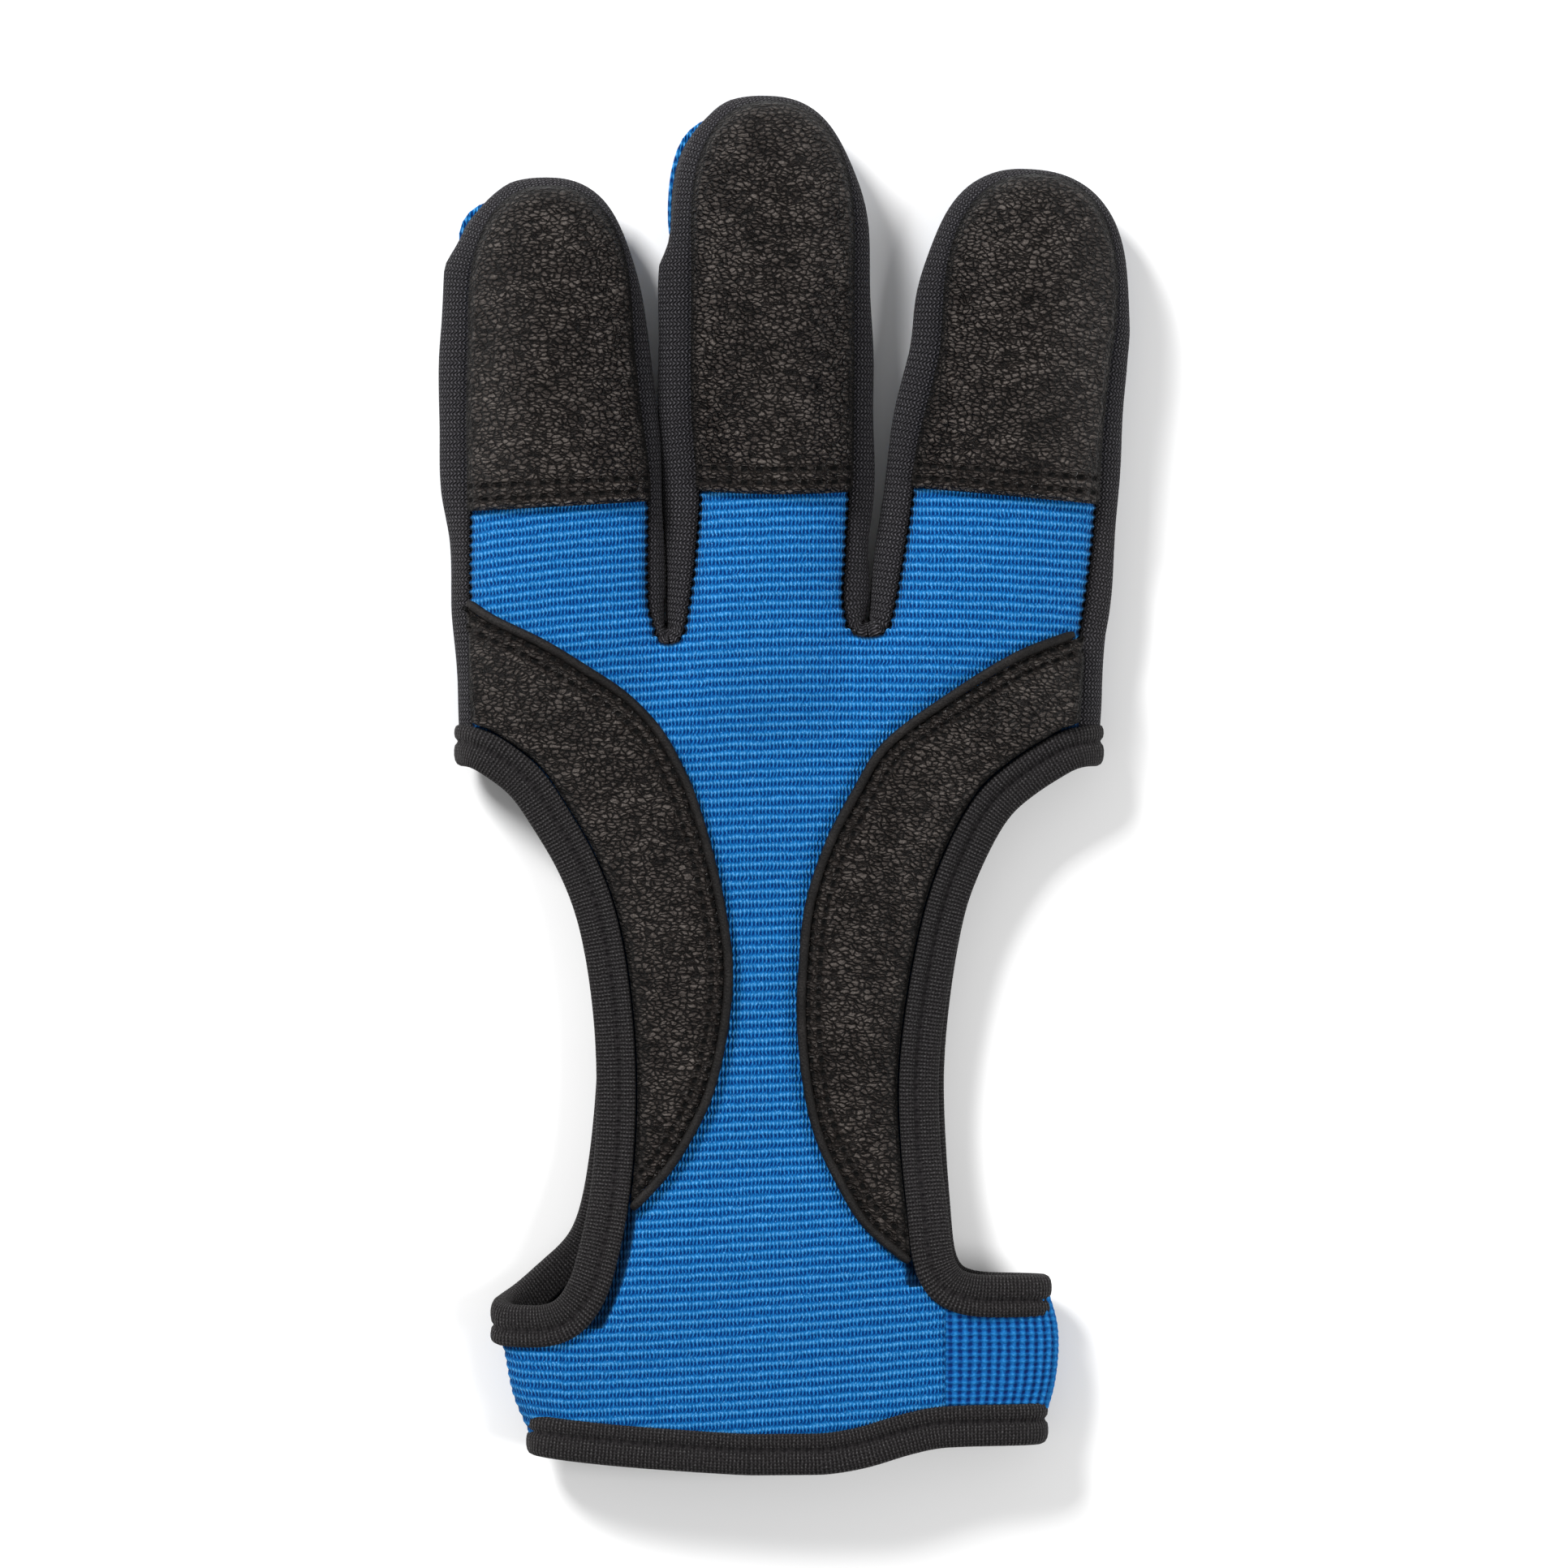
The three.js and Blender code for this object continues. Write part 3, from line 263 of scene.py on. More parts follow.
def outer_edge(side, y, back=False):
    """Where the panel's outer edge runs, from the fingertip down to the hem."""
    finger = FINGERS[0] if side == "left" else FINGERS[-1]
    up = (y - CROTCH_Y) / finger["length"]
    seam = finger_middle(finger, up) + SIGN[side] * finger_half(finger, np.maximum(up, 0))
    if back:
        top = wrist_top_back(SIGN[side] * NECK_WIDTH / 2)
        seam = seam - FINGER_ROLL
    else:
        top = WRIST_HEIGHT_LEFT if side == "left" else WRIST_HEIGHT_RIGHT
    down = (CORNER_Y - y) / (CORNER_Y - top)
    palm = palm_edge(side, down, f"back_{side}" if back else side)
    return mix(seam, palm, np.clip((CROTCH_Y - y) / CORNER_LENGTH, 0, 1))


def outer_edges(y, back):
    return outer_edge("left", y, back), outer_edge("right", y, back)


def wrist_loop(down):
    """The band's loop seen along the arm: its middle and half width, its middle height and half height."""
    left = WRIST_WIDTH / 2 * read(WRIST_ENDS, "left", down)
    right = WRIST_WIDTH / 2 * read(WRIST_ENDS, "right", down)
    level = (WRIST_DEPTH + BOUND_EDGE_LIFT) / 2
    rise = (WRIST_DEPTH - BOUND_EDGE_LIFT) / 2
    return (left + right) / 2, (right - left) / 2, level, rise


def wrist_height(x, down, face):
    middle, half, level, rise = wrist_loop(down)
    across = np.minimum(np.abs(x - middle) / half, 1)
    return level + face * rise * (1 - across ** LOOP_ACROSS) ** (1 / LOOP_UP)


def loop_point(side, turn, down):
    """A point of the band's loop, by its turn in degrees from the middle of the front."""
    middle, half, level, rise = wrist_loop(down)
    angle = np.radians(turn)
    across = np.sin(angle) ** (2 / LOOP_ACROSS)
    up = np.sign(np.cos(angle)) * np.abs(np.cos(angle)) ** (2 / LOOP_UP)
    return middle + SIGN[side] * half * across, level + rise * up + 0 * half


def turn_at(side, x, down):
    """The turn at which the band's loop reaches a place across."""
    middle, half, _, _ = wrist_loop(down)
    across = np.clip(SIGN[side] * (x - middle) / half, 0, 1)
    return np.degrees(np.arcsin(across ** (LOOP_ACROSS / 2)))


def finger_lobes(x):
    height = np.full(np.shape(x), float(FINGER_SEAM_HEIGHT))
    for finger in FINGERS:
        across = (x - finger_middle(finger, 0)) / finger_half(finger, 0)
        height = np.maximum(height, np.where(np.abs(across) < 1, finger_height(finger, 0, across), 0))
    return height


def palm_height(x, y):
    down = (CORNER_Y - y) / (CORNER_Y - wrist_top(x))
    left, right = palm_edge("left", down), palm_edge("right", down)
    across = np.minimum(np.abs((2 * x - left - right) / (right - left)), 1)
    edge = PALM_DEPTH * read(PALM_HEIGHTS, "edge", down)
    crown = PALM_DEPTH * read(PALM_HEIGHTS, "crown", down)
    palm = mix(crown, edge, across ** 2.5)
    lobed = mix(palm, finger_lobes(x), smooth(CORNER_Y, CROTCH_Y, y))
    return mix(lobed, wrist_height(x, 0, 1), smooth(0.72, 1, down))


def front_height(x, y):
    """The front's height from the palm's finger roots down to the hem."""
    top = wrist_top(x)
    down = np.clip((top - y) / (top - hem_line(x)), 0, 1)
    return np.where(y < top, wrist_height(x, down, 1), palm_height(x, np.maximum(y, top)))


def any_front_height(x, y):
    """The front's height anywhere, the fingers too."""
    height = front_height(x, y)
    for finger in FINGERS:
        up = (y - CROTCH_Y) / finger["length"]
        across = (x - finger_middle(finger, up)) / np.maximum(finger_half(finger, up), 0.01)
        inside = (y > CROTCH_Y) & (np.abs(across) <= 1.1)
        height = np.where(inside, finger_height(finger, up, across), height)
    return height


BACK_EDGE_Y = np.linspace(0, 1, 120)
BACK_EDGE = np.concatenate([
    np.stack([
        palm_edge(side, BACK_EDGE_Y, f"back_{side}"),
        mix(CORNER_Y, wrist_top_back(palm_edge(side, BACK_EDGE_Y, f"back_{side}")), BACK_EDGE_Y),
    ], axis=1)
    for side in SIGN
])


def back_palm_height(x, y, across):
    """The back lies flat, and lifts beside its seams and under its bindings."""
    top = wrist_top_back(x)
    down = (CORNER_Y - y) / (CORNER_Y - top)
    inward = PALM_WIDTH / 2 * (1 - np.abs(across))
    seam = BACK_SEAM_HEIGHT * smooth(-0.09, -0.22, down) * (1 - smooth(0, SEAM_LIFT_RUN, inward))
    far = np.hypot(x[..., None] - BACK_EDGE[:, 0], y[..., None] - BACK_EDGE[:, 1]).min(axis=-1)
    bound = BOUND_EDGE_LIFT * (1 - smooth(LEVEL_RUN, LEVEL_RUN + SEAM_LIFT_RUN, far))
    palm = mix(np.maximum(seam, bound), wrist_height(x, 0, -1), smooth(0.84, 0.95, down))
    below = np.clip((top - y) / (top - hem_line(x)), 0, 1)
    return np.where(y < top, wrist_height(x, below, -1), palm)


# The lines that the knit's ribs follow

def rib_bend(x, level):
    arch = -0.0011 * (x - 15) ** 2
    slope = 0.07 * x + 0.0005 * x ** 2
    return mix(slope, arch, smooth(18, 62, level))


def rib_relief(level):
    """How far a rib's surface lies below its crest."""
    wave = 0.5 + 0.5 * np.cos(2 * np.pi * level / RIB)
    return RIB_DEPTH * (1 - wave ** 0.7)


# Meshes: grids whose points are laid on the glove

def select_only(obj):
    bpy.ops.object.select_all(action="DESELECT")
    obj.select_set(True)
    bpy.context.view_layer.objects.active = obj


NORMAL_PASSES = 2


def surface_normals(points, upward=True):
    """Each point's direction off the sheet, evened out so that pinched corners follow their neighbours."""
    along = np.gradient(points, axis=0)
    across = np.gradient(points, axis=1)
    normals = np.cross(across, along)
    for _ in range(NORMAL_PASSES):
        padded = np.pad(normals, ((1, 1), (1, 1), (0, 0)), mode="edge")
        normals = padded[:-2] + 2 * padded[1:-1] + padded[2:]
        normals = (normals[:, :-2] + 2 * normals[:, 1:-1] + normals[:, 2:]) / 16
    return unit(normals) if upward else -unit(normals)


def lay_grid(name, points, weave, edge=None):
    """Adds a grid and lays its points out; weave is each point's place on the cloth, in millimetres."""
    rows, places = points.shape[:2]
    bpy.ops.object.select_all(action="DESELECT")
    bpy.ops.mesh.primitive_grid_add(x_subdivisions=places - 1, y_subdivisions=rows - 1, size=1)
    obj = bpy.context.object
    obj.name = obj.data.name = name
    mesh = obj.data
    start = np.empty(len(mesh.vertices) * 3)
    mesh.vertices.foreach_get("co", start)
    start = start.reshape(-1, 3)
    place = np.rint((start[:, 0] + 0.5) * (places - 1)).astype(int)
    row = np.rint((start[:, 1] + 0.5) * (rows - 1)).astype(int)
    laid = (points[row, place] + PLACE) * MILLIMETRE
    mesh.vertices.foreach_set("co", laid.ravel())
    corner = np.empty(len(mesh.loops), dtype=np.int32)
    mesh.loops.foreach_get("vertex_index", corner)
    uv = mesh.uv_layers[0]
    uv.name = "weave"
    uv.data.foreach_set("uv", weave[row, place][corner].astype(np.float32).ravel())
    if edge is not None:
        layer = mesh.attributes.new("edge", "FLOAT", "POINT")
        layer.data.foreach_set("value", edge[row, place].astype(np.float32))
    mesh.update()
    return obj


def join(parts, name):
    bpy.ops.object.select_all(action="DESELECT")
    for part in parts:
        part.select_set(True)
    bpy.context.view_layer.objects.active = parts[0]
    if len(parts) > 1:
        bpy.ops.object.join()
    obj = bpy.context.object
    obj.name = obj.data.name = name
    return obj


def weld(obj, distance=0.02, borders_only=False):
    select_only(obj)
    bpy.ops.object.mode_set(mode="EDIT")
    if borders_only:
        bpy.ops.mesh.select_mode(type="VERT")
        bpy.ops.mesh.select_all(action="DESELECT")
        bpy.ops.mesh.select_non_manifold()
    else:
        bpy.ops.mesh.select_all(action="SELECT")
    bpy.ops.mesh.remove_doubles(threshold=distance * MILLIMETRE)
    bpy.ops.object.mode_set(mode="OBJECT")


def turn_over(obj):
    select_only(obj)
    bpy.ops.object.mode_set(mode="EDIT")
    bpy.ops.mesh.select_all(action="SELECT")
    bpy.ops.mesh.flip_normals()
    bpy.ops.object.mode_set(mode="OBJECT")


def outward(obj):
    select_only(obj)
    bpy.ops.object.mode_set(mode="EDIT")
    bpy.ops.mesh.select_all(action="SELECT")
    bpy.ops.mesh.normals_make_consistent(inside=False)
    bpy.ops.object.mode_set(mode="OBJECT")


def give_wall(obj, thickness):
    """A wall on the inner side of a sheet, closed all round its edge."""
    select_only(obj)
    wall = obj.modifiers.new("wall", "SOLIDIFY")
    wall.thickness = thickness * MILLIMETRE
    wall.offset = -1
    wall.use_even_offset = False
    bpy.ops.object.modifier_apply(modifier=wall.name)


def finish(obj, material, nodes, thickness=None):
    if thickness:
        give_wall(obj, thickness)
    select_only(obj)
    bpy.ops.object.shade_smooth()
    obj.data.materials.clear()
    obj.data.materials.append(material)
    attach(obj, "root")
    if nodes:
        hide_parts(*nodes)
    return obj


# Materials

class Finish:
    """A procedural material, built up as values that later values use."""

    def __init__(self, name):
        self.material = bpy.data.materials.new(name)
        self.material.use_nodes = True
        self.tree = self.material.node_tree
        self.shader = self.tree.nodes["Principled BSDF"]

    def node(self, kind, settings=None, **inputs):
        node = self.tree.nodes.new(kind)
        for key, value in (settings or {}).items():
            setattr(node, key, value)
        for key, value in inputs.items():
            self.put(node.inputs[key.replace("_", " ")], value)
        return node

    def put(self, socket, value):
        if isinstance(value, bpy.types.NodeSocket):
            self.tree.links.new(value, socket)
        else:
            socket.default_value = value

    def math(self, operation, a, b=None, c=None, clamp=False):
        node = self.tree.nodes.new("ShaderNodeMath")
        node.operation = operation
        node.use_clamp = clamp
        for socket, value in zip(node.inputs, (a, b, c)):
            if value is not None:
                self.put(socket, value)
        return node.outputs[0]

    def weave(self):
        """The cloth's own directions in millimetres: across, along, and both as a vector."""
        both = self.node("ShaderNodeUVMap", {"uv_map": "weave"}).outputs[0]
        parts = self.node("ShaderNodeSeparateXYZ", Vector=both)
        return parts.outputs[0], parts.outputs[1], both

    def edge(self):
        """How far in from its seam each point of a sheet lies, in millimetres."""
        return self.node("ShaderNodeAttribute", {"attribute_name": "edge"}).outputs["Fac"]

    def place(self):
        return self.node("ShaderNodeTexCoord").outputs["Object"]

    def stretched(self, vector, scale):
        return self.node("ShaderNodeMapping", Vector=vector, Scale=scale).outputs[0]

    def noise(self, vector, scale, detail=2.0, roughness=0.5):
        settings = dict(Scale=scale, Detail=detail, Roughness=roughness)
        return self.node("ShaderNodeTexNoise", Vector=vector, **settings).outputs[0]

    def cells(self, vector, scale, feature="F1"):
        return self.node("ShaderNodeTexVoronoi", {"feature": feature}, Vector=vector, Scale=scale).outputs[0]

    def wave(self, value, pitch, shift=0.0):
        """Swings between 0 and 1 once every pitch."""
        turn = self.math("MULTIPLY_ADD", value, 2 * math.pi / pitch, shift)
        return self.math("MULTIPLY_ADD", self.math("COSINE", turn), 0.5, 0.5)

    def between(self, value, low, high, new_low=0.0, new_high=1.0):
        node = self.node("ShaderNodeMapRange", {"interpolation_type": "SMOOTHSTEP"}, Value=value)
        for key, number in zip(("From Min", "From Max", "To Min", "To Max"), (low, high, new_low, new_high)):
            node.inputs[key].default_value = number
        return node.outputs[0]

    def near(self, value, centre, reach):
        """1 where a value is at a centre, fading to 0 at its reach."""
        away = self.math("ABSOLUTE", self.math("SUBTRACT", value, centre))
        return self.between(away, 0.4 * reach, reach, 1.0, 0.0)

    def ramp(self, value, stops):
        node = self.tree.nodes.new("ShaderNodeValToRGB")
        self.put(node.inputs[0], value)
        elements = node.color_ramp.elements
        while len(elements) < len(stops):
            elements.new(0.5)
        for element, (position, colour) in zip(elements, stops):
            element.position = position
            element.color = (*colour, 1)
        return node.outputs[0]

    def blend(self, share, first, second, kind="MIX"):
        node = self.tree.nodes.new("ShaderNodeMix")
        node.data_type = "RGBA"
        node.blend_type = kind
        self.put(node.inputs[0], share)
        for socket, colour in ((node.inputs[6], first), (node.inputs[7], second)):
            self.put(socket, (*colour, 1) if isinstance(colour, tuple) else colour)
        return node.outputs[2]

    def surface(self, colour, roughness, height, depth, sheen=0.0, sheen_tint=None, specular=0.5):
        self.put(self.shader.inputs["Base Color"], colour)
        self.put(self.shader.inputs["Roughness"], roughness)
        self.shader.inputs["Specular IOR Level"].default_value = specular
        if sheen:
            self.shader.inputs["Sheen Weight"].default_value = sheen
            self.shader.inputs["Sheen Roughness"].default_value = 0.4
            self.shader.inputs["Sheen Tint"].default_value = (*sheen_tint, 1)
        bump = self.node("ShaderNodeBump", Height=height)
        bump.inputs["Strength"].default_value = 1.0
        bump.inputs["Distance"].default_value = depth * MILLIMETRE
        self.tree.links.new(bump.outputs[0], self.shader.inputs["Normal"])
        return self.material


def knit_finish():
    """Ribbed elastic knit with fine upright wales: painted light on the crests, painted shade in the furrows
    and their holes, painted sparkles on the crests, and painted shade along the seams.
    """
    f = Finish("ribbed_knit")
    across, along, both = f.weave()
    drift = f.noise(f.stretched(both, (0.22, 0.5, 1)), 1.0, 2.0)
    along = f.math("MULTIPLY_ADD", drift, 0.5, f.math("SUBTRACT", along, 0.25))
    jitter = f.noise(f.stretched(both, (0.5, 1.1, 1)), 1.0, 1.0)
    column = f.math("MULTIPLY_ADD", jitter, 0.5, across)
    wale = f.wave(column, WALE)
    toothed = f.math("MULTIPLY_ADD", wale, 0.24, along)
    rib = f.wave(toothed, RIB)
    yarn = f.noise(f.stretched(both, (2.2, 1.5, 1)), 1.0, 4.0, 0.75)
    loops = f.math("MULTIPLY", wale, f.wave(along, RIB / 2, 0.8))
    # Painted light and shade: the rib wave makes the crests lighter and the furrows between them darker.
    tone = f.math("MULTIPLY_ADD", yarn, 1.15, f.math("MULTIPLY", rib, 0.42))
    tone = f.math("MULTIPLY_ADD", loops, 0.24, f.math("SUBTRACT", tone, 0.39))
    tone = f.math("MULTIPLY_ADD", wale, 0.2, tone)
    colour = f.ramp(tone, [
        (0.08, (0.0002, 0.022, 0.125)), (0.32, (0.001, 0.06, 0.24)), (0.54, (0.005, 0.13, 0.4)),
        (0.76, (0.022, 0.22, 0.56)), (0.96, (0.09, 0.36, 0.76)),
    ])
    # Painted shade: the holes in the furrows are darkened.
    furrow = f.between(rib, 0.12, 0.42, 1.0, 0.0)
    holes = f.math("MULTIPLY", furrow, f.between(wale, 0.35, 0.75, 1.0, 0.0))
    colour = f.blend(f.math("MULTIPLY", holes, 0.72), colour, (0.0004, 0.018, 0.13))
    # Painted highlights: small light blue sparkles on the rib crests.
    sparkle_cells = f.cells(f.stretched(both, (2.3, 2.1, 1)), 1.0)
    painted_sparkles = f.math("MULTIPLY", f.between(sparkle_cells, 0.12, 0.26, 1.0, 0.0), f.between(rib, 0.2, 0.6))
    colour = f.blend(f.math("MULTIPLY", painted_sparkles, 0.45), colour, (0.2, 0.55, 0.94))
    # Painted shade: the knit turns almost black along its seams, the crotches and the bindings' inner edges,
    # where it dips under its neighbours.
    seam = f.between(f.edge(), 0.1, 0.75, 1.0, 0.0)
    colour = f.blend(f.math("MULTIPLY", seam, 0.9), colour, (0.001, 0.006, 0.02))
    height = f.math("MULTIPLY_ADD", yarn, 0.8, f.math("MULTIPLY", wale, 0.7))
    return f.surface(colour, 0.9, height, 0.42, 0.02, (0.5, 0.75, 1.0), 0.06)


def waffle_finish():
    """Wrist elastic: upright ribs crossed by rows of small holes, with painted shade in its furrows and
    holes.
    """
    f = Finish("waffle_elastic")
    across, along, both = f.weave()
    drift = f.noise(f.stretched(both, (0.4, 0.4, 1)), 1.0, 2.0)
    across = f.math("MULTIPLY_ADD", drift, 0.35, across)
    along = f.math("MULTIPLY_ADD", drift, 0.3, along)
    rib = f.wave(across, RIB)
    row = f.wave(along, WAFFLE_ROW)
    yarn = f.noise(f.stretched(both, (2.4, 2.8, 1)), 1.0, 3.0, 0.7)
    # Painted shade: the waves of the ribs and rows make the furrows between them darker.
    tone = f.math("MULTIPLY_ADD", yarn, 0.8, f.math("MULTIPLY", rib, 0.35))
    tone = f.math("MULTIPLY_ADD", row, 0.22, f.math("SUBTRACT", tone, 0.19))
    colour = f.ramp(tone, [
        (0.1, (0.0002, 0.016, 0.1)), (0.34, (0.001, 0.045, 0.19)), (0.56, (0.005, 0.1, 0.32)),
        (0.78, (0.016, 0.18, 0.47)), (0.95, (0.06, 0.3, 0.62)),
    ])
    # Painted shade: the holes between the ribs and rows are darkened.
    shaded_pits = f.math("MULTIPLY", f.between(rib, 0.15, 0.5, 1.0, 0.0), f.between(row, 0.2, 0.6, 1.0, 0.0))
    colour = f.blend(f.math("MULTIPLY", shaded_pits, 0.85), colour, (0.0004, 0.014, 0.1))
    height = f.math("MULTIPLY_ADD", yarn, 0.5, f.math("MULTIPLY", row, 0.4))
    return f.surface(colour, 0.85, height, 0.4, 0.03, (0.5, 0.75, 1.0), 0.1)


def mesh_finish():
    """Charcoal gusset knit: small slanting loops with grey glints between dark holes."""
    f = Finish("gusset_mesh")
    across, along, both = f.weave()
    drift = f.noise(f.stretched(both, (0.5, 0.5, 1)), 1.0, 2.0)
    along = f.math("MULTIPLY_ADD", drift, 0.4, along)
    column = f.wave(across, MESH_COLUMN)
    zigzag = f.math("MULTIPLY_ADD", f.wave(across, 2 * MESH_COLUMN), 0.62, along)
    loop = f.wave(zigzag, MESH_ROW)
    yarn = f.noise(f.stretched(both, (3.0, 3.0, 1)), 1.0, 3.0, 0.7)
    tone = f.math("MULTIPLY_ADD", yarn, 1.0, f.math("MULTIPLY", loop, 0.5))
    tone = f.math("MULTIPLY_ADD", column, 0.2, f.math("SUBTRACT", tone, 0.4))
    colour = f.ramp(tone, [
        (0.12, (0.0015, 0.0012, 0.002)), (0.4, (0.012, 0.011, 0.013)), (0.65, (0.034, 0.032, 0.036)),
        (0.92, (0.13, 0.125, 0.135)),
    ])
    height = f.math("MULTIPLY_ADD", yarn, 0.4, f.math("MULTIPLY", loop, 0.7))
    return f.surface(colour, 0.82, height, 0.4, 0.05, (0.6, 0.6, 0.62), 0.14)


def binding_finish():
    """Rib-knit tape: fine courses square to the edge, and a stitched groove along it with painted shade."""
    f = Finish("binding_tape")
    along, across, both = f.weave()
    drift = f.noise(f.stretched(both, (0.5, 0.8, 1)), 1.0, 2.0)
    course = f.wave(f.math("MULTIPLY_ADD", drift, 0.35, along), TAPE_COURSE)
    zigzag = f.math("MULTIPLY_ADD", course, 0.22, across)
    loop = f.wave(zigzag, TAPE_LOOP)
    yarn = f.noise(f.stretched(both, (2.6, 2.6, 1)), 1.0, 3.0, 0.7)
    tone = f.math("MULTIPLY_ADD", yarn, 1.1, f.math("MULTIPLY", course, 0.34))
    tone = f.math("MULTIPLY_ADD", loop, 0.22, f.math("SUBTRACT", tone, 0.37))
    colour = f.ramp(tone, [
        (0.12, (0.0016, 0.0013, 0.0014)), (0.4, (0.011, 0.0098, 0.0103)), (0.64, (0.03, 0.028, 0.029)),
        (0.92, (0.1, 0.096, 0.097)),
    ])
    # Painted shade: the stitched groove is darkened; its stitches are slightly lighter thread.
    groove = f.near(across, 3.5, 0.62)
    stitches = f.math("MULTIPLY", groove, f.between(f.wave(along, 1.9), 0.3, 0.7))
    colour = f.blend(f.math("MULTIPLY", groove, 0.55), colour, (0.006, 0.005, 0.006))
    colour = f.blend(f.math("MULTIPLY", stitches, 0.35), colour, (0.03, 0.027, 0.028))
    height = f.math("MULTIPLY_ADD", yarn, 0.6, f.math("MULTIPLY", course, 0.5))
    height = f.math("MULTIPLY_ADD", stitches, 0.6, height)
    return f.surface(colour, 0.88, height, 0.4, 0.06, (0.7, 0.68, 0.66), 0.12)


def leather_finish(name, stitch_rows):
    """Dark brown grained leather with rows of sunk stitches beside its edge; its colour holds painted shade
    in the creases, along the turned-down edge and in the stitch rows and holes, and painted glints on the
    grain.
    """
    f = Finish(name)
    along, inset, _ = f.weave()
    warp = f.node("ShaderNodeTexNoise", Vector=f.place(), Scale=420.0, Detail=3.0, Roughness=0.6).outputs[1]
    bent = f.node("ShaderNodeVectorMath", {"operation": "MULTIPLY_ADD"})
    f.put(bent.inputs[0], warp)
    bent.inputs[1].default_value = (0.0014, 0.0014, 0.0014)
    f.put(bent.inputs[2], f.place())
    grain = f.node("ShaderNodeMapping", Vector=bent.outputs[0], Rotation=(0, 0, 0.12), Scale=(1.0, 1.9, 1.0))
    grain = grain.outputs[0]
    pebble = f.cells(grain, 850.0)
    crease = f.cells(grain, 850.0, "DISTANCE_TO_EDGE")
    small = f.cells(grain, 1900.0)
    creases = f.between(crease, 0.0, 0.2)
    fine = f.noise(f.place(), 4200.0, 3.0, 0.65)
    large = f.noise(f.place(), 150.0, 3.0, 0.55)
    wrinkle = f.noise(f.stretched(f.place(), (1.0, 3.2, 1.0)), 330.0, 4.0, 0.6)
    # Painted shade and highlights: the crease lines are darkened, and the lightest end of the ramp paints
    # small glints on the grain.
    tone = f.math("MULTIPLY_ADD", fine, 0.5, f.math("MULTIPLY", creases, 0.45))
    tone = f.math("MULTIPLY_ADD", large, 0.35, f.math("SUBTRACT", tone, 0.52))
    tone = f.math("MULTIPLY_ADD", wrinkle, 0.7, tone)
    colour = f.ramp(tone, [
        (0.2, (0.0016, 0.0011, 0.001)), (0.46, (0.0135, 0.0104, 0.0092)), (0.64, (0.0355, 0.0285, 0.0255)),
        (0.86, (0.125, 0.108, 0.098)),
    ])
    edge = f.edge()
    # Painted shade: the leather darkens towards its edge, where it turns down to the seam and under the
    # binding.
    shaded_broad_rim = f.between(edge, 0.2, 2.8, 1.0, 0.0)
    colour = f.blend(f.math("MULTIPLY", shaded_broad_rim, 0.5), colour, (0.0014, 0.0011, 0.001))
    rim = f.between(edge, 0.1, 0.9, 1.0, 0.0)
    colour = f.blend(f.math("MULTIPLY", rim, 0.8), colour, (0.0012, 0.001, 0.001))
    stitch = f.wave(along, STITCH_PITCH)
    hole = f.between(stitch, 0.55, 0.78)
    row = None
    for centre in stitch_rows:
        band = f.near(inset, centre, 0.5)
        row = band if row is None else f.math("MAXIMUM", row, band)
        beside = f.math("MULTIPLY", f.near(inset, centre, 1.0), 0.6)
        colour = f.blend(beside, colour, (0.026, 0.021, 0.019))
    # Painted shade: the stitch rows' grooves are darkened, and their holes are nearly black.
    holes = f.math("MULTIPLY", row, hole)
    colour = f.blend(f.math("MULTIPLY", row, 0.45), colour, (0.003, 0.0024, 0.0022))
    colour = f.blend(holes, colour, (0.0003, 0.0002, 0.0002))
    height = f.math("MULTIPLY_ADD", fine, 0.35, f.math("MULTIPLY", creases, 0.8))
    height = f.math("MULTIPLY_ADD", wrinkle, 2.0, height)
    height = f.math("SUBTRACT", height, f.math("MULTIPLY", pebble, 1.3))
    height = f.math("SUBTRACT", height, f.math("MULTIPLY", small, 0.35))
    height = f.math("SUBTRACT", height, f.math("MULTIPLY", holes, 0.8))
    shine = f.between(f.noise(f.place(), 1500.0, 2.0, 0.6), 0.35, 0.7, 0.42, 0.22)
    matt = f.math("MAXIMUM", holes, f.math("MULTIPLY", shaded_broad_rim, 0.6))
    shine = f.math("MULTIPLY_ADD", matt, 0.55, shine, clamp=True)
    return f.surface(colour, shine, height, 0.75, specular=0.2)


def piping_finish():
    """Smooth folded leather edge."""
    f = Finish("folded_edge")
    fine = f.noise(f.place(), 2600.0, 3.0, 0.6)
    large = f.noise(f.place(), 300.0, 2.0)
    tone = f.math("MULTIPLY_ADD", fine, 0.6, f.math("MULTIPLY", large, 0.4))
    colour = f.ramp(tone, [
        (0.25, (0.002, 0.0016, 0.0015)), (0.5, (0.007, 0.006, 0.0056)), (0.75, (0.022, 0.019, 0.018)),
    ])
    return f.surface(colour, 0.55, fine, 0.25, specular=0.16)


knit = knit_finish()
waffle = waffle_finish()
mesh_cloth = mesh_finish()
tape = binding_finish()
tip_leather = leather_finish("tip_leather", TIP_STITCH_ROWS)
patch_leather = leather_finish("patch_leather", PATCH_STITCH_ROWS)
folded_leather = piping_finish()


# Front and back panels

FINGER_PLACES = 20
GAP_PLACES = 10
SERRATION = 0.15
# The distance from a seam that is written where there is none
NO_SEAM = 3.0
# The level whose bend the fingertips' rows take
TIP_LEVEL = 200.0
RIB_STEP = RIB / ROWS_PER_RIB
BORDER_LEVEL = round((CROTCH_Y + 0.5) / RIB_STEP) * RIB_STEP
HEM_BLEND_LEVEL = round(10 / RIB_STEP) * RIB_STEP


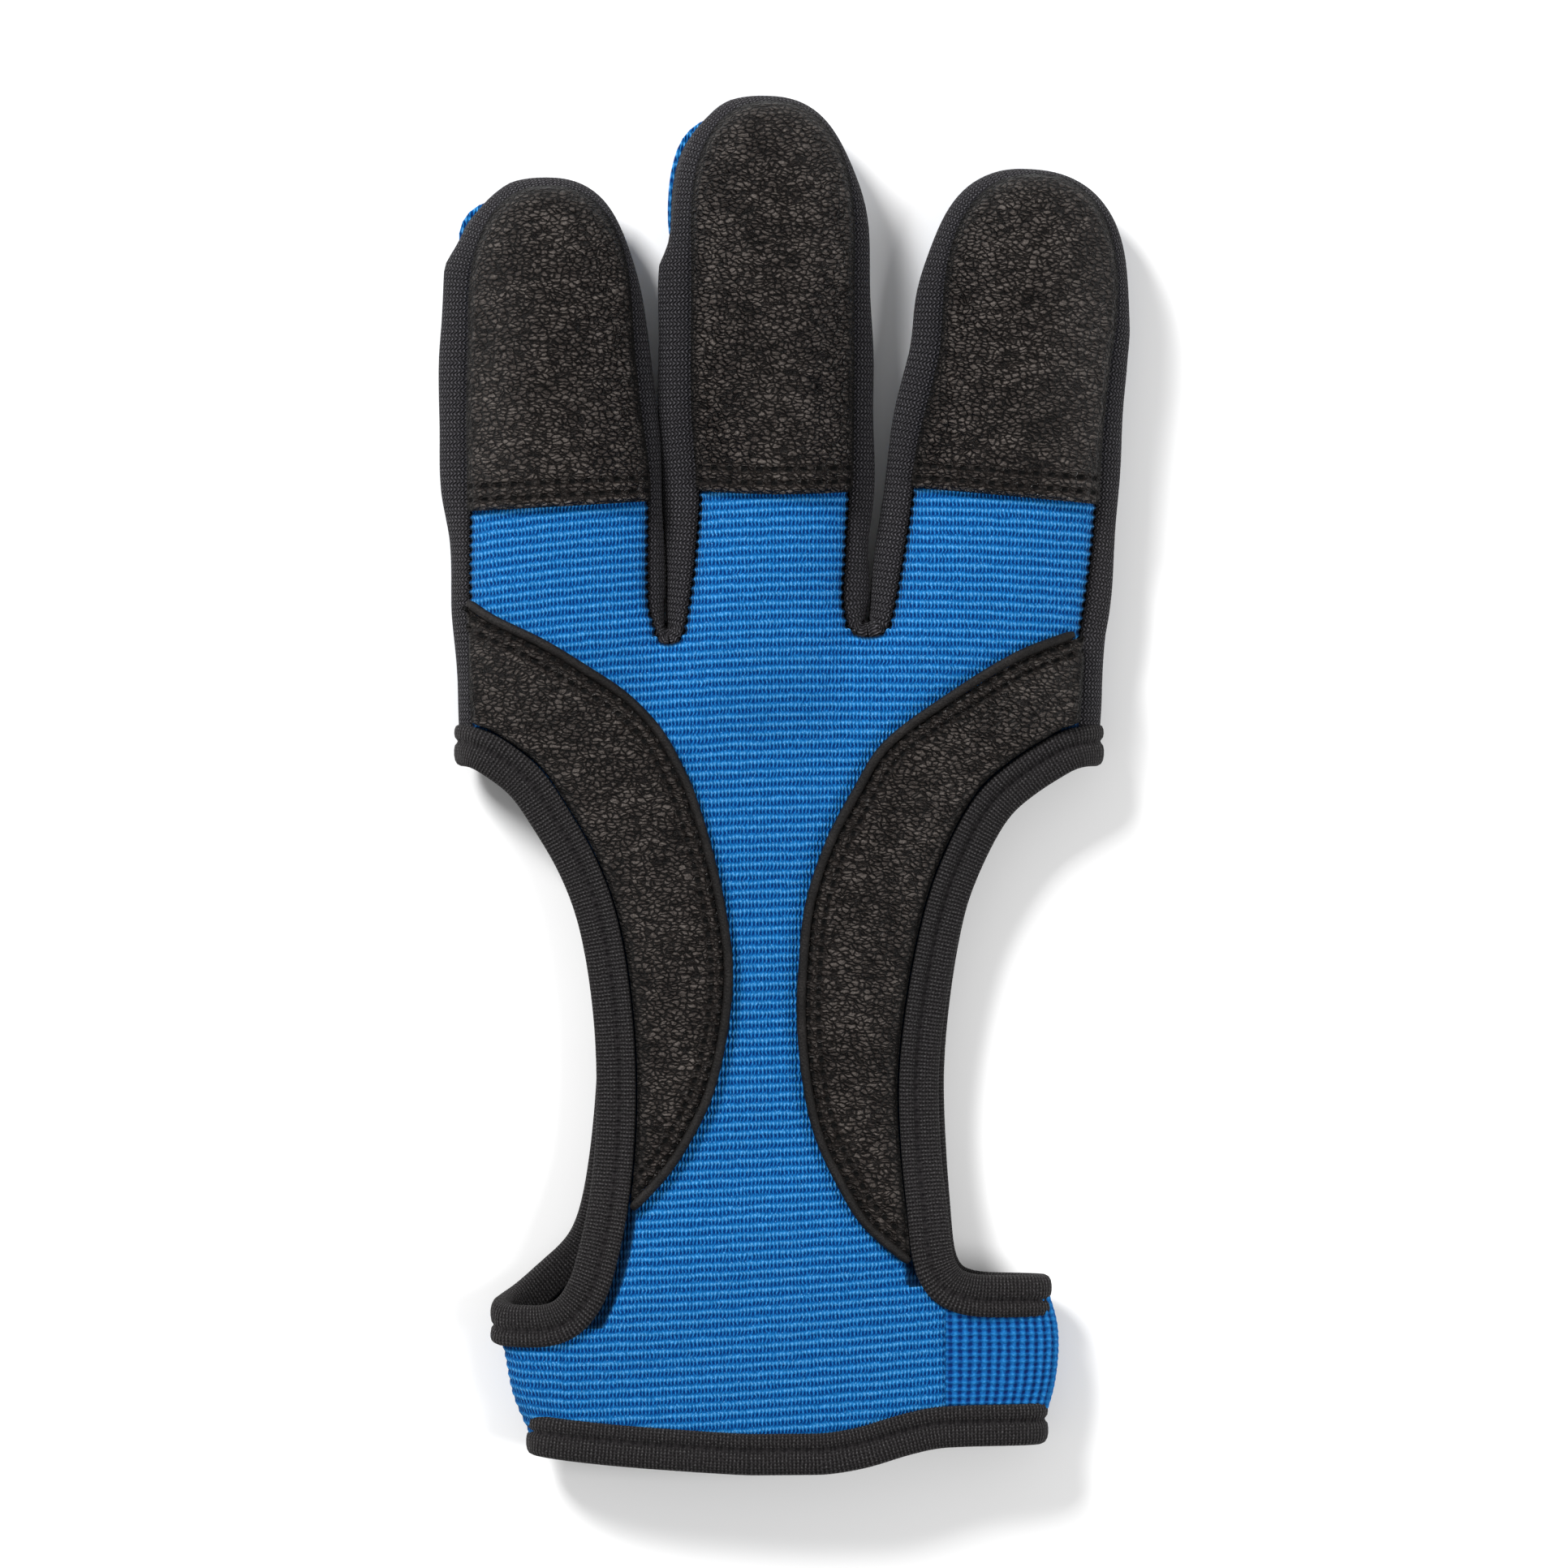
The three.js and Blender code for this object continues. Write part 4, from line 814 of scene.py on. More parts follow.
def finger_edges(index, y, back):
    """Both seams of a finger at a level, below the crotches too."""
    finger = FINGERS[index]
    up = (y - CROTCH_Y) / finger["length"]
    roll = FINGER_ROLL if back else 0
    edges = []
    for side, last in (("left", 0), ("right", len(FINGERS) - 1)):
        if index == last:
            edges.append(outer_edge(side, y, back))
        else:
            half = finger_half(finger, np.maximum(up, 0))
            edges.append(finger_middle(finger, up) + SIGN[side] * half - roll)
    return edges


def serrated(x, level):
    """Scallops the two outer columns where each rib meets the seam."""
    wave = SERRATION * np.cos(2 * np.pi * level / RIB)
    shaped = x.copy()
    shaped[:, 0] -= wave[:, 0]
    shaped[:, -1] += wave[:, 0]
    return shaped


def follow_ribs(level, share, edges):
    """Points of the rows that lie along ribs, between two edges that depend on height."""
    y = level + rib_bend(0.0, level) + 0 * share
    for _ in range(6):
        left, right = edges(y)
        x = mix(left, right, share)
        y = level + rib_bend(x, level)
    return x, y


def seam_distance(x, left, right):
    return np.minimum(np.abs(x - left), np.abs(right - x))


def finger_grids(index, back):
    finger = FINGERS[index]
    share = np.linspace(0, 1, FINGER_PLACES + 1)[None, :]
    leather_y = CROTCH_Y + finger["length"] - finger["leather"]
    top_level = leather_y + 5.0
    count = int((top_level - BORDER_LEVEL) / RIB_STEP)
    level = (BORDER_LEVEL + RIB_STEP * np.arange(count + 1))[:, None]
    edges = partial(finger_edges, index, back=back)
    x, y = follow_ribs(level, share, edges)
    x = serrated(x, level)
    edge = seam_distance(x, *edges(y))
    # plain rows below the leather, up to the rounded tip
    tip_start = 1 - finger["round"] / finger["length"]
    steps = np.linspace(0, 1, 9)[1:, None]
    y_top = y[-1][None, :]
    y_plain = mix(y_top, CROTCH_Y + finger["length"] * tip_start, steps)
    left, right = edges(y_plain)
    x_plain = mix(left, right, share)
    sideways = 2 * share - 1
    onward = np.linspace(0, 1, 12)[1:, None]
    cap_x = sideways * (1 - onward ** TIP_SQUARENESS / 2) ** (1 / TIP_SQUARENESS)
    cap_y = onward * (1 - np.abs(sideways) ** TIP_SQUARENESS / 2) ** (1 / TIP_SQUARENESS)
    up_cap = 1 - (1 - cap_y) * finger["round"] / finger["length"]
    roll = FINGER_ROLL if back else 0
    x_cap = finger_middle(finger, up_cap) + finger_full(finger, up_cap) * cap_x - roll
    y_cap = CROTCH_Y + finger["length"] * up_cap
    x_all = np.concatenate([x, x_plain, x_cap])
    y_all = np.concatenate([y, y_plain, y_cap])
    up_all = (y_all - CROTCH_Y) / finger["length"]
    middle = finger_middle(finger, up_all) - roll
    full = finger_full(finger, up_all)
    rho = np.clip(round_share(finger, up_all), 0, 1)
    reach = np.minimum(np.abs(x_all - middle) / full, 1) ** TIP_SQUARENESS + rho ** TIP_SQUARENESS
    reach = np.minimum(reach, 1) ** (1 / TIP_SQUARENESS)
    across_all = (x_all - middle) / np.maximum(full * round_off(rho), 0.01)
    if back and finger["name"] in ROLLED:
        amount = read(ROLLED[finger["name"]], "amount", up_all) * reach ** 5
        bulge = GUSSET_BULGE * read(finger["bulges"], "left", up_all)
        toward = (x_all - middle) / full
        turned = smooth(0, 0.3, -toward) * amount * (1.06 * bulge - FINGER_ROLL)
        direction = unit(np.stack([toward, rho], axis=-1))
        x_all = x_all + turned * direction[..., 0]
        y_all = y_all + turned * direction[..., 1]
    if back:
        inward = full * (1 - np.where(rho > 0, reach, np.abs(across_all)))
        z = BACK_SEAM_HEIGHT * (1 - smooth(0, SEAM_LIFT_RUN, inward * mix(1, 2.2, rho)))
    else:
        z = finger_height(finger, up_all, across_all)
        z = np.where(y_all < CROTCH_Y, front_height(x_all, y_all), z)
    plain_level, cap_level = y_plain - rib_bend(x_plain, TIP_LEVEL), y_cap - rib_bend(x_cap, TIP_LEVEL)
    level_all = np.concatenate([level + 0 * x, plain_level, cap_level])
    edge_all = np.concatenate([edge, np.full(x_plain.shape, 2.0), np.full(x_cap.shape, 2.0)])
    points = np.stack([x_all, y_all, z], axis=-1)
    return points, level_all, edge_all


def place_shares(back):
    """Shares of the palm's width for its columns: three fingers with a narrow gap between each two."""
    share = np.linspace(0, 1, FINGER_PLACES + 1)[None, :]
    level = np.array([[BORDER_LEVEL]])
    rows = []
    for index in range(len(FINGERS)):
        x, y = follow_ribs(level, share, partial(finger_edges, index, back=back))
        x = serrated(x, level)
        rows.append((x[0], y[0]))
    xs, dip = [], []
    for index, (x, y) in enumerate(rows):
        xs.extend(x)
        dip.extend([0.0] * len(x))
        if index + 1 < len(rows):
            for step in range(1, GAP_PLACES):
                part = step / GAP_PLACES
                xs.append(mix(x[-1], rows[index + 1][0][0], part))
                dip.append(CROTCH_DIP * 2 * math.sqrt(part * (1 - part)))
    xs = np.array(xs)
    y = BORDER_LEVEL + rib_bend(xs, BORDER_LEVEL)
    left, right = outer_edges(y, back)
    return (xs - left) / (right - left), np.array(dip)


def palm_grid(back):
    shares, dips = place_shares(back)
    shares = shares[None, :]
    edges = partial(outer_edges, back=back)
    count = int(round((BORDER_LEVEL - HEM_BLEND_LEVEL) / RIB_STEP))
    level = (HEM_BLEND_LEVEL + RIB_STEP * np.arange(count + 1))[:, None]
    x, y = follow_ribs(level, shares, edges)
    dipped = dips[None, :] * smooth(BORDER_LEVEL - 6, BORDER_LEVEL, level)
    y = y - dipped
    hem_rows = int(round(HEM_BLEND_LEVEL / RIB_STEP))
    part = np.linspace(0, 1, hem_rows + 1)[:-1, None]
    x_hem = np.repeat(x[:1], hem_rows, axis=0)
    y_hem = mix(hem_line(x_hem), y[:1], part)
    level_all = np.concatenate([y_hem - rib_bend(x_hem, 0.0), level + 0 * x - dipped])
    x = np.concatenate([x_hem, x])
    y = np.concatenate([y_hem, y])
    if back:
        left, right = edges(y)
        across = (2 * x - left - right) / (right - left)
        z = back_palm_height(x, y, across)
    else:
        z = front_height(x, y)
    edge = seam_distance(x, *edges(y))
    return np.stack([x, y, z], axis=-1), level_all, edge


def laid_piece(name, points, level, edge, sink=0.0, upward=True):
    """A knit grid with its ribs raised and its seam edges turned down."""
    normals = surface_normals(points)
    if not upward:
        normals = -normals
    fall = rib_relief(level) + sink * (1 - smooth(0, 1.3, edge))
    laid = points - normals * fall[..., None]
    across = points[..., 0]
    weave = np.stack([across, level], axis=-1)
    return lay_grid(name, laid, weave, edge)


WRAP_PLACES = 34
WRAP_END_TURN = 140


def end_wrap(main_points, main_levels):
    """The front panel's left end, turned round the band's end onto the back."""
    column = main_points[:, 0]
    top_row = int(np.argmin(np.abs(column[:, 1] - wrist_top(column[0, 0]))))
    heights = column[: top_row + 1, 1]
    part = ((heights - heights[0]) / (heights[-1] - heights[0]))[:, None]
    down = 1 - part + np.zeros((1, WRAP_PLACES))
    share = np.linspace(0, 1, WRAP_PLACES)[None, :]
    turns = mix(turn_at("left", column[0, 0] - 0.7, down), WRAP_END_TURN, share)
    x, z = loop_point("left", turns, down)
    top = mix(wrist_top(x), wrist_top_back(x), smooth(60, 130, turns))
    y = mix(hem_line(x), top, part)
    joined = np.concatenate([column[: top_row + 1, None], np.stack([x, y, z], axis=-1)], axis=1)
    level = np.repeat(main_levels[: top_row + 1, :1], joined.shape[1], axis=1)
    return joined[:, ::-1], level


def binding_room(points):
    """How far the knit lies inside the side bindings' inner edges; 0 under them."""
    room = np.full(points.shape[:2], NO_SEAM)
    for side in SIGN:
        cover = cover_line(side)
        slope = np.gradient(cover[:, 0]) / np.gradient(cover[:, 1])
        squeeze = 1 / np.hypot(1, np.clip(slope, -3, 3))
        at = np.interp(points[..., 1], cover[:, 1], cover[:, 0])
        far = (at - points[..., 0]) * SIGN[side] * np.interp(points[..., 1], cover[:, 1], squeeze)
        inside = (points[..., 1] < CORNER_Y + BINDING_COVER) & (points[..., 1] > cover[0, 1])
        room = np.where(inside, np.minimum(room, np.maximum(far - 0.4, 0)), room)
    return room


NOTCH_ROWS = 24
SEAM_SINK = 0.5


def front_panel():
    points, level, edge = palm_grid(False)
    _, dips = place_shares(False)
    notch = points[-1][dips > 0]
    top_rows = slice(-NOTCH_ROWS, None)
    gap = points[top_rows, :, None, :2] - notch[None, None, :, :2]
    notch_distance = np.full(edge.shape, NO_SEAM)
    notch_distance[top_rows] = np.linalg.norm(gap, axis=-1).min(axis=-1)
    sewn = np.where(points[..., 1] > CORNER_Y - 1, edge, NO_SEAM)
    # The knit's shader paints shade within these distances of the seams, the crotches and the bindings'
    # edges.
    seam_room = np.minimum(np.minimum(sewn, notch_distance), binding_room(points))
    parts = [laid_piece("palm", points, level, seam_room, SEAM_SINK)]
    wrap, wrap_level = end_wrap(points, level)
    steps = np.linalg.norm(np.diff(wrap, axis=1), axis=-1).mean(axis=0)
    distance = np.concatenate([[0], np.cumsum(steps)])
    normals = surface_normals(wrap)
    laid = wrap - normals * rib_relief(wrap_level)[..., None]
    across = wrap[0, -1, 0] - distance[-1] + distance
    weave = np.stack([np.repeat(across[None, :], len(wrap), axis=0), wrap_level], axis=-1)
    laid[:, -1] = (points - surface_normals(points) * rib_relief(level)[..., None])[: len(wrap), 0]
    parts.append(lay_grid("wrap", laid, weave, np.full(wrap_level.shape, NO_SEAM)))
    for index in range(len(FINGERS)):
        points_f, level_f, edge_f = finger_grids(index, False)
        parts.append(laid_piece("finger", points_f, level_f, edge_f, SEAM_SINK))
    panel = join(parts, "front_knit_panel")
    weld(panel, 0.15, borders_only=True)
    return finish(panel, knit, ["palm_panel"], 1.0)


def back_panel():
    points, level, edge = palm_grid(True)
    parts = [laid_piece("back", points, level, np.full(edge.shape, NO_SEAM), 0, False)]
    for index in range(len(FINGERS)):
        points_f, level_f, edge_f = finger_grids(index, True)
        parts.append(laid_piece("finger", points_f, level_f, np.full(edge_f.shape, NO_SEAM), 0, False))
    panel = join(parts, "back_knit_panel")
    weld(panel, 0.15, borders_only=True)
    turn_over(panel)
    return finish(panel, knit, ["back_panel"], 1.0)


# Wrist elastic, from its seam on the front round the right end to its seam on the back

ELASTIC_PLACES = 130
ELASTIC_ROWS = 72


def wrist_elastic():
    part = np.linspace(0, 1, ELASTIC_ROWS + 1)[:, None]
    share = np.linspace(0, 1, ELASTIC_PLACES + 1)[None, :]
    down = 1 - part + 0 * share
    start = turn_at("right", palm_edge("right", 1.0) + GAP, down)
    end = 180 - turn_at("right", palm_edge("right", 1.0, "back_right") + GAP, down)
    turns = mix(start, end, share)
    x, z = loop_point("right", turns, down)
    top = mix(wrist_top(x), wrist_top_back(x), smooth(60, 130, turns))
    y = mix(hem_line(x), top, part)
    points = np.stack([x, y, z], axis=-1)
    steps = np.linalg.norm(np.diff(points, axis=1), axis=-1).mean(axis=0)
    across = np.concatenate([[0], np.cumsum(steps)])[None, :] + 0 * part
    rib = 0.5 + 0.5 * np.cos(2 * np.pi * across / RIB)
    row = 0.5 + 0.5 * np.cos(2 * np.pi * y / WAFFLE_ROW)
    fall = 0.34 * (1 - rib ** 0.7) + 0.16 * (1 - row) * (1 - 0.5 * rib)
    laid = points - surface_normals(points) * fall[..., None]
    weave = np.stack([across, y], axis=-1)
    piece = lay_grid("wrist_elastic_band", laid, weave, np.full(x.shape, NO_SEAM))
    return finish(piece, waffle, ["wrist_elastic"], 1.0)


# Gussets

GUSSET_DEPTHS = 15


def seam_path(index):
    """The finger's seam, as the level line of both panels' edges: x, y and the bulge."""
    finger = FINGERS[index]
    start = 1 - finger["round"] / finger["length"]
    rise = np.linspace(0, start, int(start * finger["length"] / 0.9))[:-1]
    angle = np.linspace(0, math.pi / 2, 26)[:-1]
    cap_x = np.cos(angle) ** (2 / TIP_SQUARENESS)
    cap_up = 1 - (1 - np.sin(angle) ** (2 / TIP_SQUARENESS)) * finger["round"] / finger["length"]
    sides = {}
    for side in SIGN:
        up = np.concatenate([rise, cap_up])
        reach = np.concatenate([np.ones(len(rise)), cap_x])
        x = finger_middle(finger, up) + SIGN[side] * finger_full(finger, up) * reach
        bulge = read(finger["bulges"], side, up)
        sides[side] = np.stack([x, CROTCH_Y + finger["length"] * up, bulge, reach], axis=1)
    tip_x = finger_middle(finger, 1.0)
    end = (finger["bulges"]["left"][-1] + finger["bulges"]["right"][-1]) / 2
    for side in SIGN:
        other = read(finger["bulges"], "right" if side == "left" else "left", 1.0)
        share = (1 - sides[side][:, 3]) / 2
        sides[side][:, 2] = mix(sides[side][:, 2], other, share)
    tip = np.array([[tip_x, CROTCH_Y + finger["length"], end, 0]])
    path = np.concatenate([
        seam_run(index, "left", sides["left"][0])[::-1], sides["left"], tip,
        sides["right"][::-1], seam_run(index, "right", sides["right"][0]),
    ])
    return path[:, 0], path[:, 1], path[:, 2]


def seam_run(index, side, first):
    """Below a finger the seam runs down the palm's side, or into the crotch beside the next finger."""
    outer = index == (0 if side == "left" else len(FINGERS) - 1)
    if outer:
        y = np.linspace(CROTCH_Y, CORNER_Y, 24)[1:]
        x = outer_edge(side, y)
        share = (CROTCH_Y - y) / CORNER_LENGTH
        bulge = mix(first[2], CORNER_BULGES[side], share)
        return np.stack([x, y, bulge, 0 * y], axis=1)
    other = FINGERS[index + SIGN[side]]
    other_edge = finger_middle(other, 0) - SIGN[side] * finger_half(other, 0)
    middle = (first[0] + other_edge) / 2 - SIGN[side] * GAP / 2
    part = np.linspace(0, 1, 9)[1:] ** 1.6
    x = mix(first[0], middle, part)
    y = BORDER_LEVEL + rib_bend(x, BORDER_LEVEL) - CROTCH_DIP * np.sqrt(part * (2 - part))
    y = mix(first[1], y, smooth(0, 0.5, part))
    return np.stack([x, y, np.full(8, first[2]), 0 * y], axis=1)


def gusset(index):
    x, y, bulge = seam_path(index)
    far = np.gradient(x), np.gradient(y)
    out = np.stack([-far[1], far[0]], axis=1)
    out /= np.linalg.norm(out, axis=1, keepdims=True)
    for inner, place in ((index > 0, 0), (index < len(FINGERS) - 1, -1)):
        if inner:
            out[place] = (0, 1)
    kernel = np.array([1, 2, 3, 2, 1]) / 9
    padded = np.pad(out, ((2, 2), (0, 0)), mode="edge")
    out = np.stack([np.convolve(padded[:, axis], kernel, mode="valid") for axis in range(2)], axis=1)
    out /= np.linalg.norm(out, axis=1, keepdims=True)
    down = np.linspace(0, 1, GUSSET_DEPTHS)[None, :]
    swell = (4 * down * (1 - down)) ** GUSSET_ROUNDNESS
    fade = np.clip((y - CORNER_Y) / CORNER_LENGTH, 0, 1)
    upper_z = any_front_height(x, y)
    upper_z = np.where(y >= CROTCH_Y, FINGER_SEAM_HEIGHT, upper_z)
    lower_x = x - FINGER_ROLL * fade
    palm_z = back_palm_height(x, np.minimum(y, CROTCH_Y), np.ones(len(x)))
    lower_z = np.where(y >= CROTCH_Y - 3, BACK_SEAM_HEIGHT, palm_z)
    high = (upper_z - 1.0)[:, None]
    low = (lower_z + 1.0)[:, None]
    pucker = 0.12 * np.sin(np.cumsum(np.hypot(*far)) / 3.1 + index)[:, None] * swell
    push = GUSSET_BULGE * bulge[:, None] * swell + pucker
    name = FINGERS[index]["name"]
    if name in ROLLED:
        up = (y - CROTCH_Y) / FINGERS[index]["length"]
        left_part = (x < finger_middle(FINGERS[index], up))
        amount = (read(ROLLED[name], "amount", up) * left_part)[:, None]
        rim = ROLLED_RIM * np.sin(math.pi / 2 * np.minimum(down / 0.45, 1))
        push = mix(push, GUSSET_BULGE * bulge[:, None] * rim, amount)
    px = mix(x[:, None], lower_x[:, None], down) + out[:, :1] * push
    py = y[:, None] + out[:, 1:] * push
    pz = mix(high, low, down)
    points = np.stack([px, py, pz], axis=-1)
    along = run_lengths(points[:, GUSSET_DEPTHS // 2])
    depth = np.concatenate([
        np.zeros((len(x), 1)), np.cumsum(np.linalg.norm(np.diff(points, axis=1), axis=-1), axis=1),
    ], axis=1)
    weave = np.stack([along[:, None] + 0 * down, depth], axis=-1)
    piece = lay_grid(f"finger_gusset_{FINGERS[index]['name']}", points, weave, depth)
    turn_over(piece)
    return finish(piece, mesh_cloth, [f"gusset_{FINGERS[index]['name']}"], 0.9)


# Leather

LEATHER_LIFT = 1.5
TIP_PLACES = 84
CORNER_EASE = 0.25


def stitch_relief(along, inset, rows):
    """Stitch lines sink into the leather, deepest at each hole."""
    fall = 0 * along
    hole = 0.5 + 0.5 * np.cos(2 * np.pi * along / STITCH_PITCH)
    for centre in rows:
        line = np.exp(-((inset - centre) / 0.42) ** 2)
        fall = fall + line * (0.14 + 0.42 * hole ** 2)
    return fall


def lumps(x, y, height):
    """Slow unevenness of leather that has been handled."""
    return height * (
        np.sin(x / 3.7 + y / 9.1) * np.sin(y / 5.3 - x / 11) + 0.6 * np.sin(x / 2.1 - y / 4.4 + 1.3)
    )


def ease_corners(laid):
    """The grid's two top corners lie on the rounded rim, so each is set just outside its neighbours."""
    for end, inner in ((0, 1), (-1, -2)):
        middle = (laid[-1, inner] + laid[-2, end]) / 2
        laid[-1, end] = middle + CORNER_EASE * (middle - laid[-2, inner])


def leather_tip(index):
    finger = FINGERS[index]
    length, leather = finger["length"], finger["leather"]
    a = np.linspace(-1, 1, TIP_PLACES + 1)[None, :]
    straight = leather - finger["round"]
    near_edge = np.arange(0, 5.6, 0.33)
    rest = np.linspace(5.6, straight, int((straight - 5.6) / 0.9))
    rise = np.concatenate([near_edge, rest])[:, None]
    low = length - leather
    bend = (finger["slant"] * a - finger["sag"] * (1 - a ** 2)) * (1 - smooth(0, 14, rise))
    up = (low + rise + bend) / length
    x = finger_middle(finger, up) + finger_full(finger, up) * a
    b = np.linspace(0, 1, 28)[1:, None]
    cap_x = a * (1 - b ** TIP_SQUARENESS / 2) ** (1 / TIP_SQUARENESS)
    cap_y = b * (1 - np.abs(a) ** TIP_SQUARENESS / 2) ** (1 / TIP_SQUARENESS)
    cap_up = 1 - (1 - cap_y) * finger["round"] / length
    x = np.concatenate([x, finger_middle(finger, cap_up) + finger_full(finger, cap_up) * cap_x])
    up = np.concatenate([up, cap_up])
    rise = np.concatenate([rise + 0 * a, straight + finger["round"] * cap_y])
    rho = np.clip(round_share(finger, up), 0, 1)
    full = finger_full(finger, up)
    centred = x - finger_middle(finger, up)
    z = finger_height(finger, up, centred / np.maximum(full * round_off(rho), 0.01))
    reach = np.minimum((np.abs(centred) / full) ** TIP_SQUARENESS + rho ** TIP_SQUARENESS, 1)
    side_room = full * (1 - np.where(rho > 0, reach ** (1 / TIP_SQUARENESS), np.abs(centred) / full))
    y = CROTCH_Y + length * up
    points = np.stack([x, y, z], axis=-1)
    lift = LEATHER_LIFT - 0.75 * (1 - smooth(0, 1.5, side_room)) - 0.6 * (1 - smooth(0, 0.55, rise))
    lift = lift + lumps(x, y, 0.09) * smooth(0, 3, side_room) - stitch_relief(centred, rise, TIP_STITCH_ROWS)
    laid = points + surface_normals(points) * lift[..., None]
    ease_corners(laid)
    weave = np.stack([centred, rise], axis=-1)
    piece = lay_grid(f"fingertip_leather_{finger['name']}", laid, weave, side_room)
    return finish(piece, tip_leather, [f"leather_tip_{finger['name']}"], 1.1)


PIPING_RADIUS = 0.75
OVERLAY_GAP = 0.6
PATCH_SIDE_GAP = -0.15
PATCH_PLACES = 46
PATCH_ROW = 0.5


def side_normals(line):
    run = np.gradient(line, axis=0)
    normals = np.stack([-run[:, 1], run[:, 0]], axis=1)
    return normals / np.linalg.norm(normals, axis=1, keepdims=True)


def cover_line(side):
    """The binding's inner edge, from above its corner down the opening."""
    y = np.linspace(CORNER_Y, WRIST_HEIGHT_LEFT if side == "left" else WRIST_HEIGHT_RIGHT, 300)
    edge = np.stack([outer_edge(side, y), y], axis=1)
    reach = BINDING_COVER + GAP
    shift = SIGN[side] * reach * side_normals(edge)
    moved = edge + shift
    if abs(moved[0, 0]) > abs(edge[0, 0]):
        moved = edge - shift
    corner = np.array([[edge[0, 0], edge[0, 1] + reach]])
    line = np.concatenate([corner, moved])
    return line[np.argsort(line[:, 1])]


def patch_outer(side, y, cover):
    seam = outer_edge(side, y)
    crossing = np.interp(y, cover[:, 1], cover[:, 0])
    return np.where(y > cover[-1, 1], seam, crossing) - SIGN[side] * PATCH_SIDE_GAP


def patch_curve(side, inset, room_left):
    """The curve between a patch and its folded edge, set in from the table's line."""
    table = PATCH_EDGES[side]
    down = np.linspace(table["down"][0], table["down"][-1], 2400)
    line = np.stack([PALM_WIDTH / 2 * read(table, "across", down), CORNER_Y - OPENING_LENGTH * down], axis=1)
    normals = side_normals(line)
    if normals[1200, 0] * SIGN[side] < 0:
        normals = -normals
    line = line + inset * normals
    room = (patch_outer(side, line[:, 1], cover_line(side)) - line[:, 0]) * SIGN[side]
    return line[room > room_left]


def nearest(line, x, y):
    """Distance from each point to a line, and how far along it that is."""
    length = run_lengths(line)
    far, along = np.empty(x.shape), np.empty(x.shape)
    for row in range(len(x)):
        gap = np.hypot(x[row, :, None] - line[:, 0], y[row, :, None] - line[:, 1])
        best = gap.argmin(axis=1)
        far[row] = gap[np.arange(len(best)), best]
        along[row] = length[best]
    return far, along


def palm_patch(side):
    cover = cover_line(side)
    curve = patch_curve(side, 2 * PIPING_RADIUS - 0.25, 0.3)
    low, high = curve[:, 1].min(), curve[:, 1].max()
    rows = np.linspace(low, high, int((high - low) / PATCH_ROW))
    order = np.argsort(curve[:, 1])
    inner = np.interp(rows, curve[order, 1], curve[order, 0])
    outer = patch_outer(side, rows, cover)
    share = np.linspace(0, 1, PATCH_PLACES + 1)[None, :] ** 0.85
    x = mix(inner[:, None], outer[:, None], share)
    if side == "left":
        x = x[:, ::-1]
    y = rows[:, None] + 0 * x
    z = any_front_height(x, y)
    points = np.stack([x, y, z], axis=-1)
    inset, along = nearest(curve, x, y)
    outer_room = np.abs(x - outer[:, None])
    lift = OVERLAY_GAP + 1.15 - 0.4 * (1 - smooth(0, 0.5, inset)) - 0.8 * (1 - smooth(0, 1.0, outer_room))
    width = np.abs(outer - inner)[:, None]
    lift = lift + lumps(x, y, 0.1) - stitch_relief(along, inset, PATCH_STITCH_ROWS) * smooth(1.5, 4, width)
    laid = points + surface_normals(points) * lift[..., None]
    piece = lay_grid(f"palm_leather_{side}", laid, np.stack([along, inset], axis=-1), outer_room)
    return finish(piece, patch_leather, [f"palm_patch_{side}"], 0.8)


def ring_grid(name, points, normals, into, outline, closed=True):
    """A tube or strip: outlines of (inward, outward) set square to a path."""
    placed = (
        points[:, None] + into[:, None] * outline[..., :1] + normals[:, None] * outline[..., 1:]
    )
    placed = np.concatenate([placed, placed[:, :1]], axis=1)
    round_length = np.linalg.norm(np.diff(placed, axis=1), axis=-1).mean(axis=0)
    across = np.concatenate([[0], np.cumsum(round_length)])
    if closed:
        placed = np.concatenate([placed, placed[:1]])
    middle = placed[:, outline.shape[1] // 4]
    along = run_lengths(middle)
    weave = np.stack([along[:, None] + 0 * across, across[None, :] + 0 * along[:, None]], axis=-1)
    return lay_grid(name, placed, weave)


def patch_piping(side):
    curve = patch_curve(side, PIPING_RADIUS, 0.1)
    length = run_lengths(curve)
    at = np.linspace(0, length[-1], int(length[-1] / 0.8))
    x, y = np.interp(at, length, curve[:, 0]), np.interp(at, length, curve[:, 1])
    z = any_front_height(x, y) + PIPING_RADIUS + 0.42
    points = np.stack([x, y, z], axis=1)
    tangent = np.gradient(points, axis=0)
    tangent /= np.linalg.norm(tangent, axis=1, keepdims=True)
    out = np.array([0, 0, 1]) - tangent * tangent[:, 2:]
    out /= np.linalg.norm(out, axis=1, keepdims=True)
    into = np.cross(out, tangent)
    turn = np.linspace(0, 2 * math.pi, 13)[:-1]
    taper = smooth(-2.0, 1.2, np.minimum(at, length[-1] - at))[:, None]
    outline = np.stack([np.cos(turn), np.sin(turn)], axis=-1)[None] * PIPING_RADIUS * taper[..., None]
    piece = ring_grid(f"leather_piping_{side}", points, out, into, outline, closed=False)
    weld(piece)
    select_only(piece)
    bpy.ops.object.mode_set(mode="EDIT")
    bpy.ops.mesh.select_all(action="SELECT")
    bpy.ops.mesh.fill_holes(sides=0)
    bpy.ops.object.mode_set(mode="OBJECT")
    outward(piece)
    return finish(piece, folded_leather, [f"patch_piping_{side}"])


# Bindings: a strip folded over an edge, with a stitched groove between two soft ribs

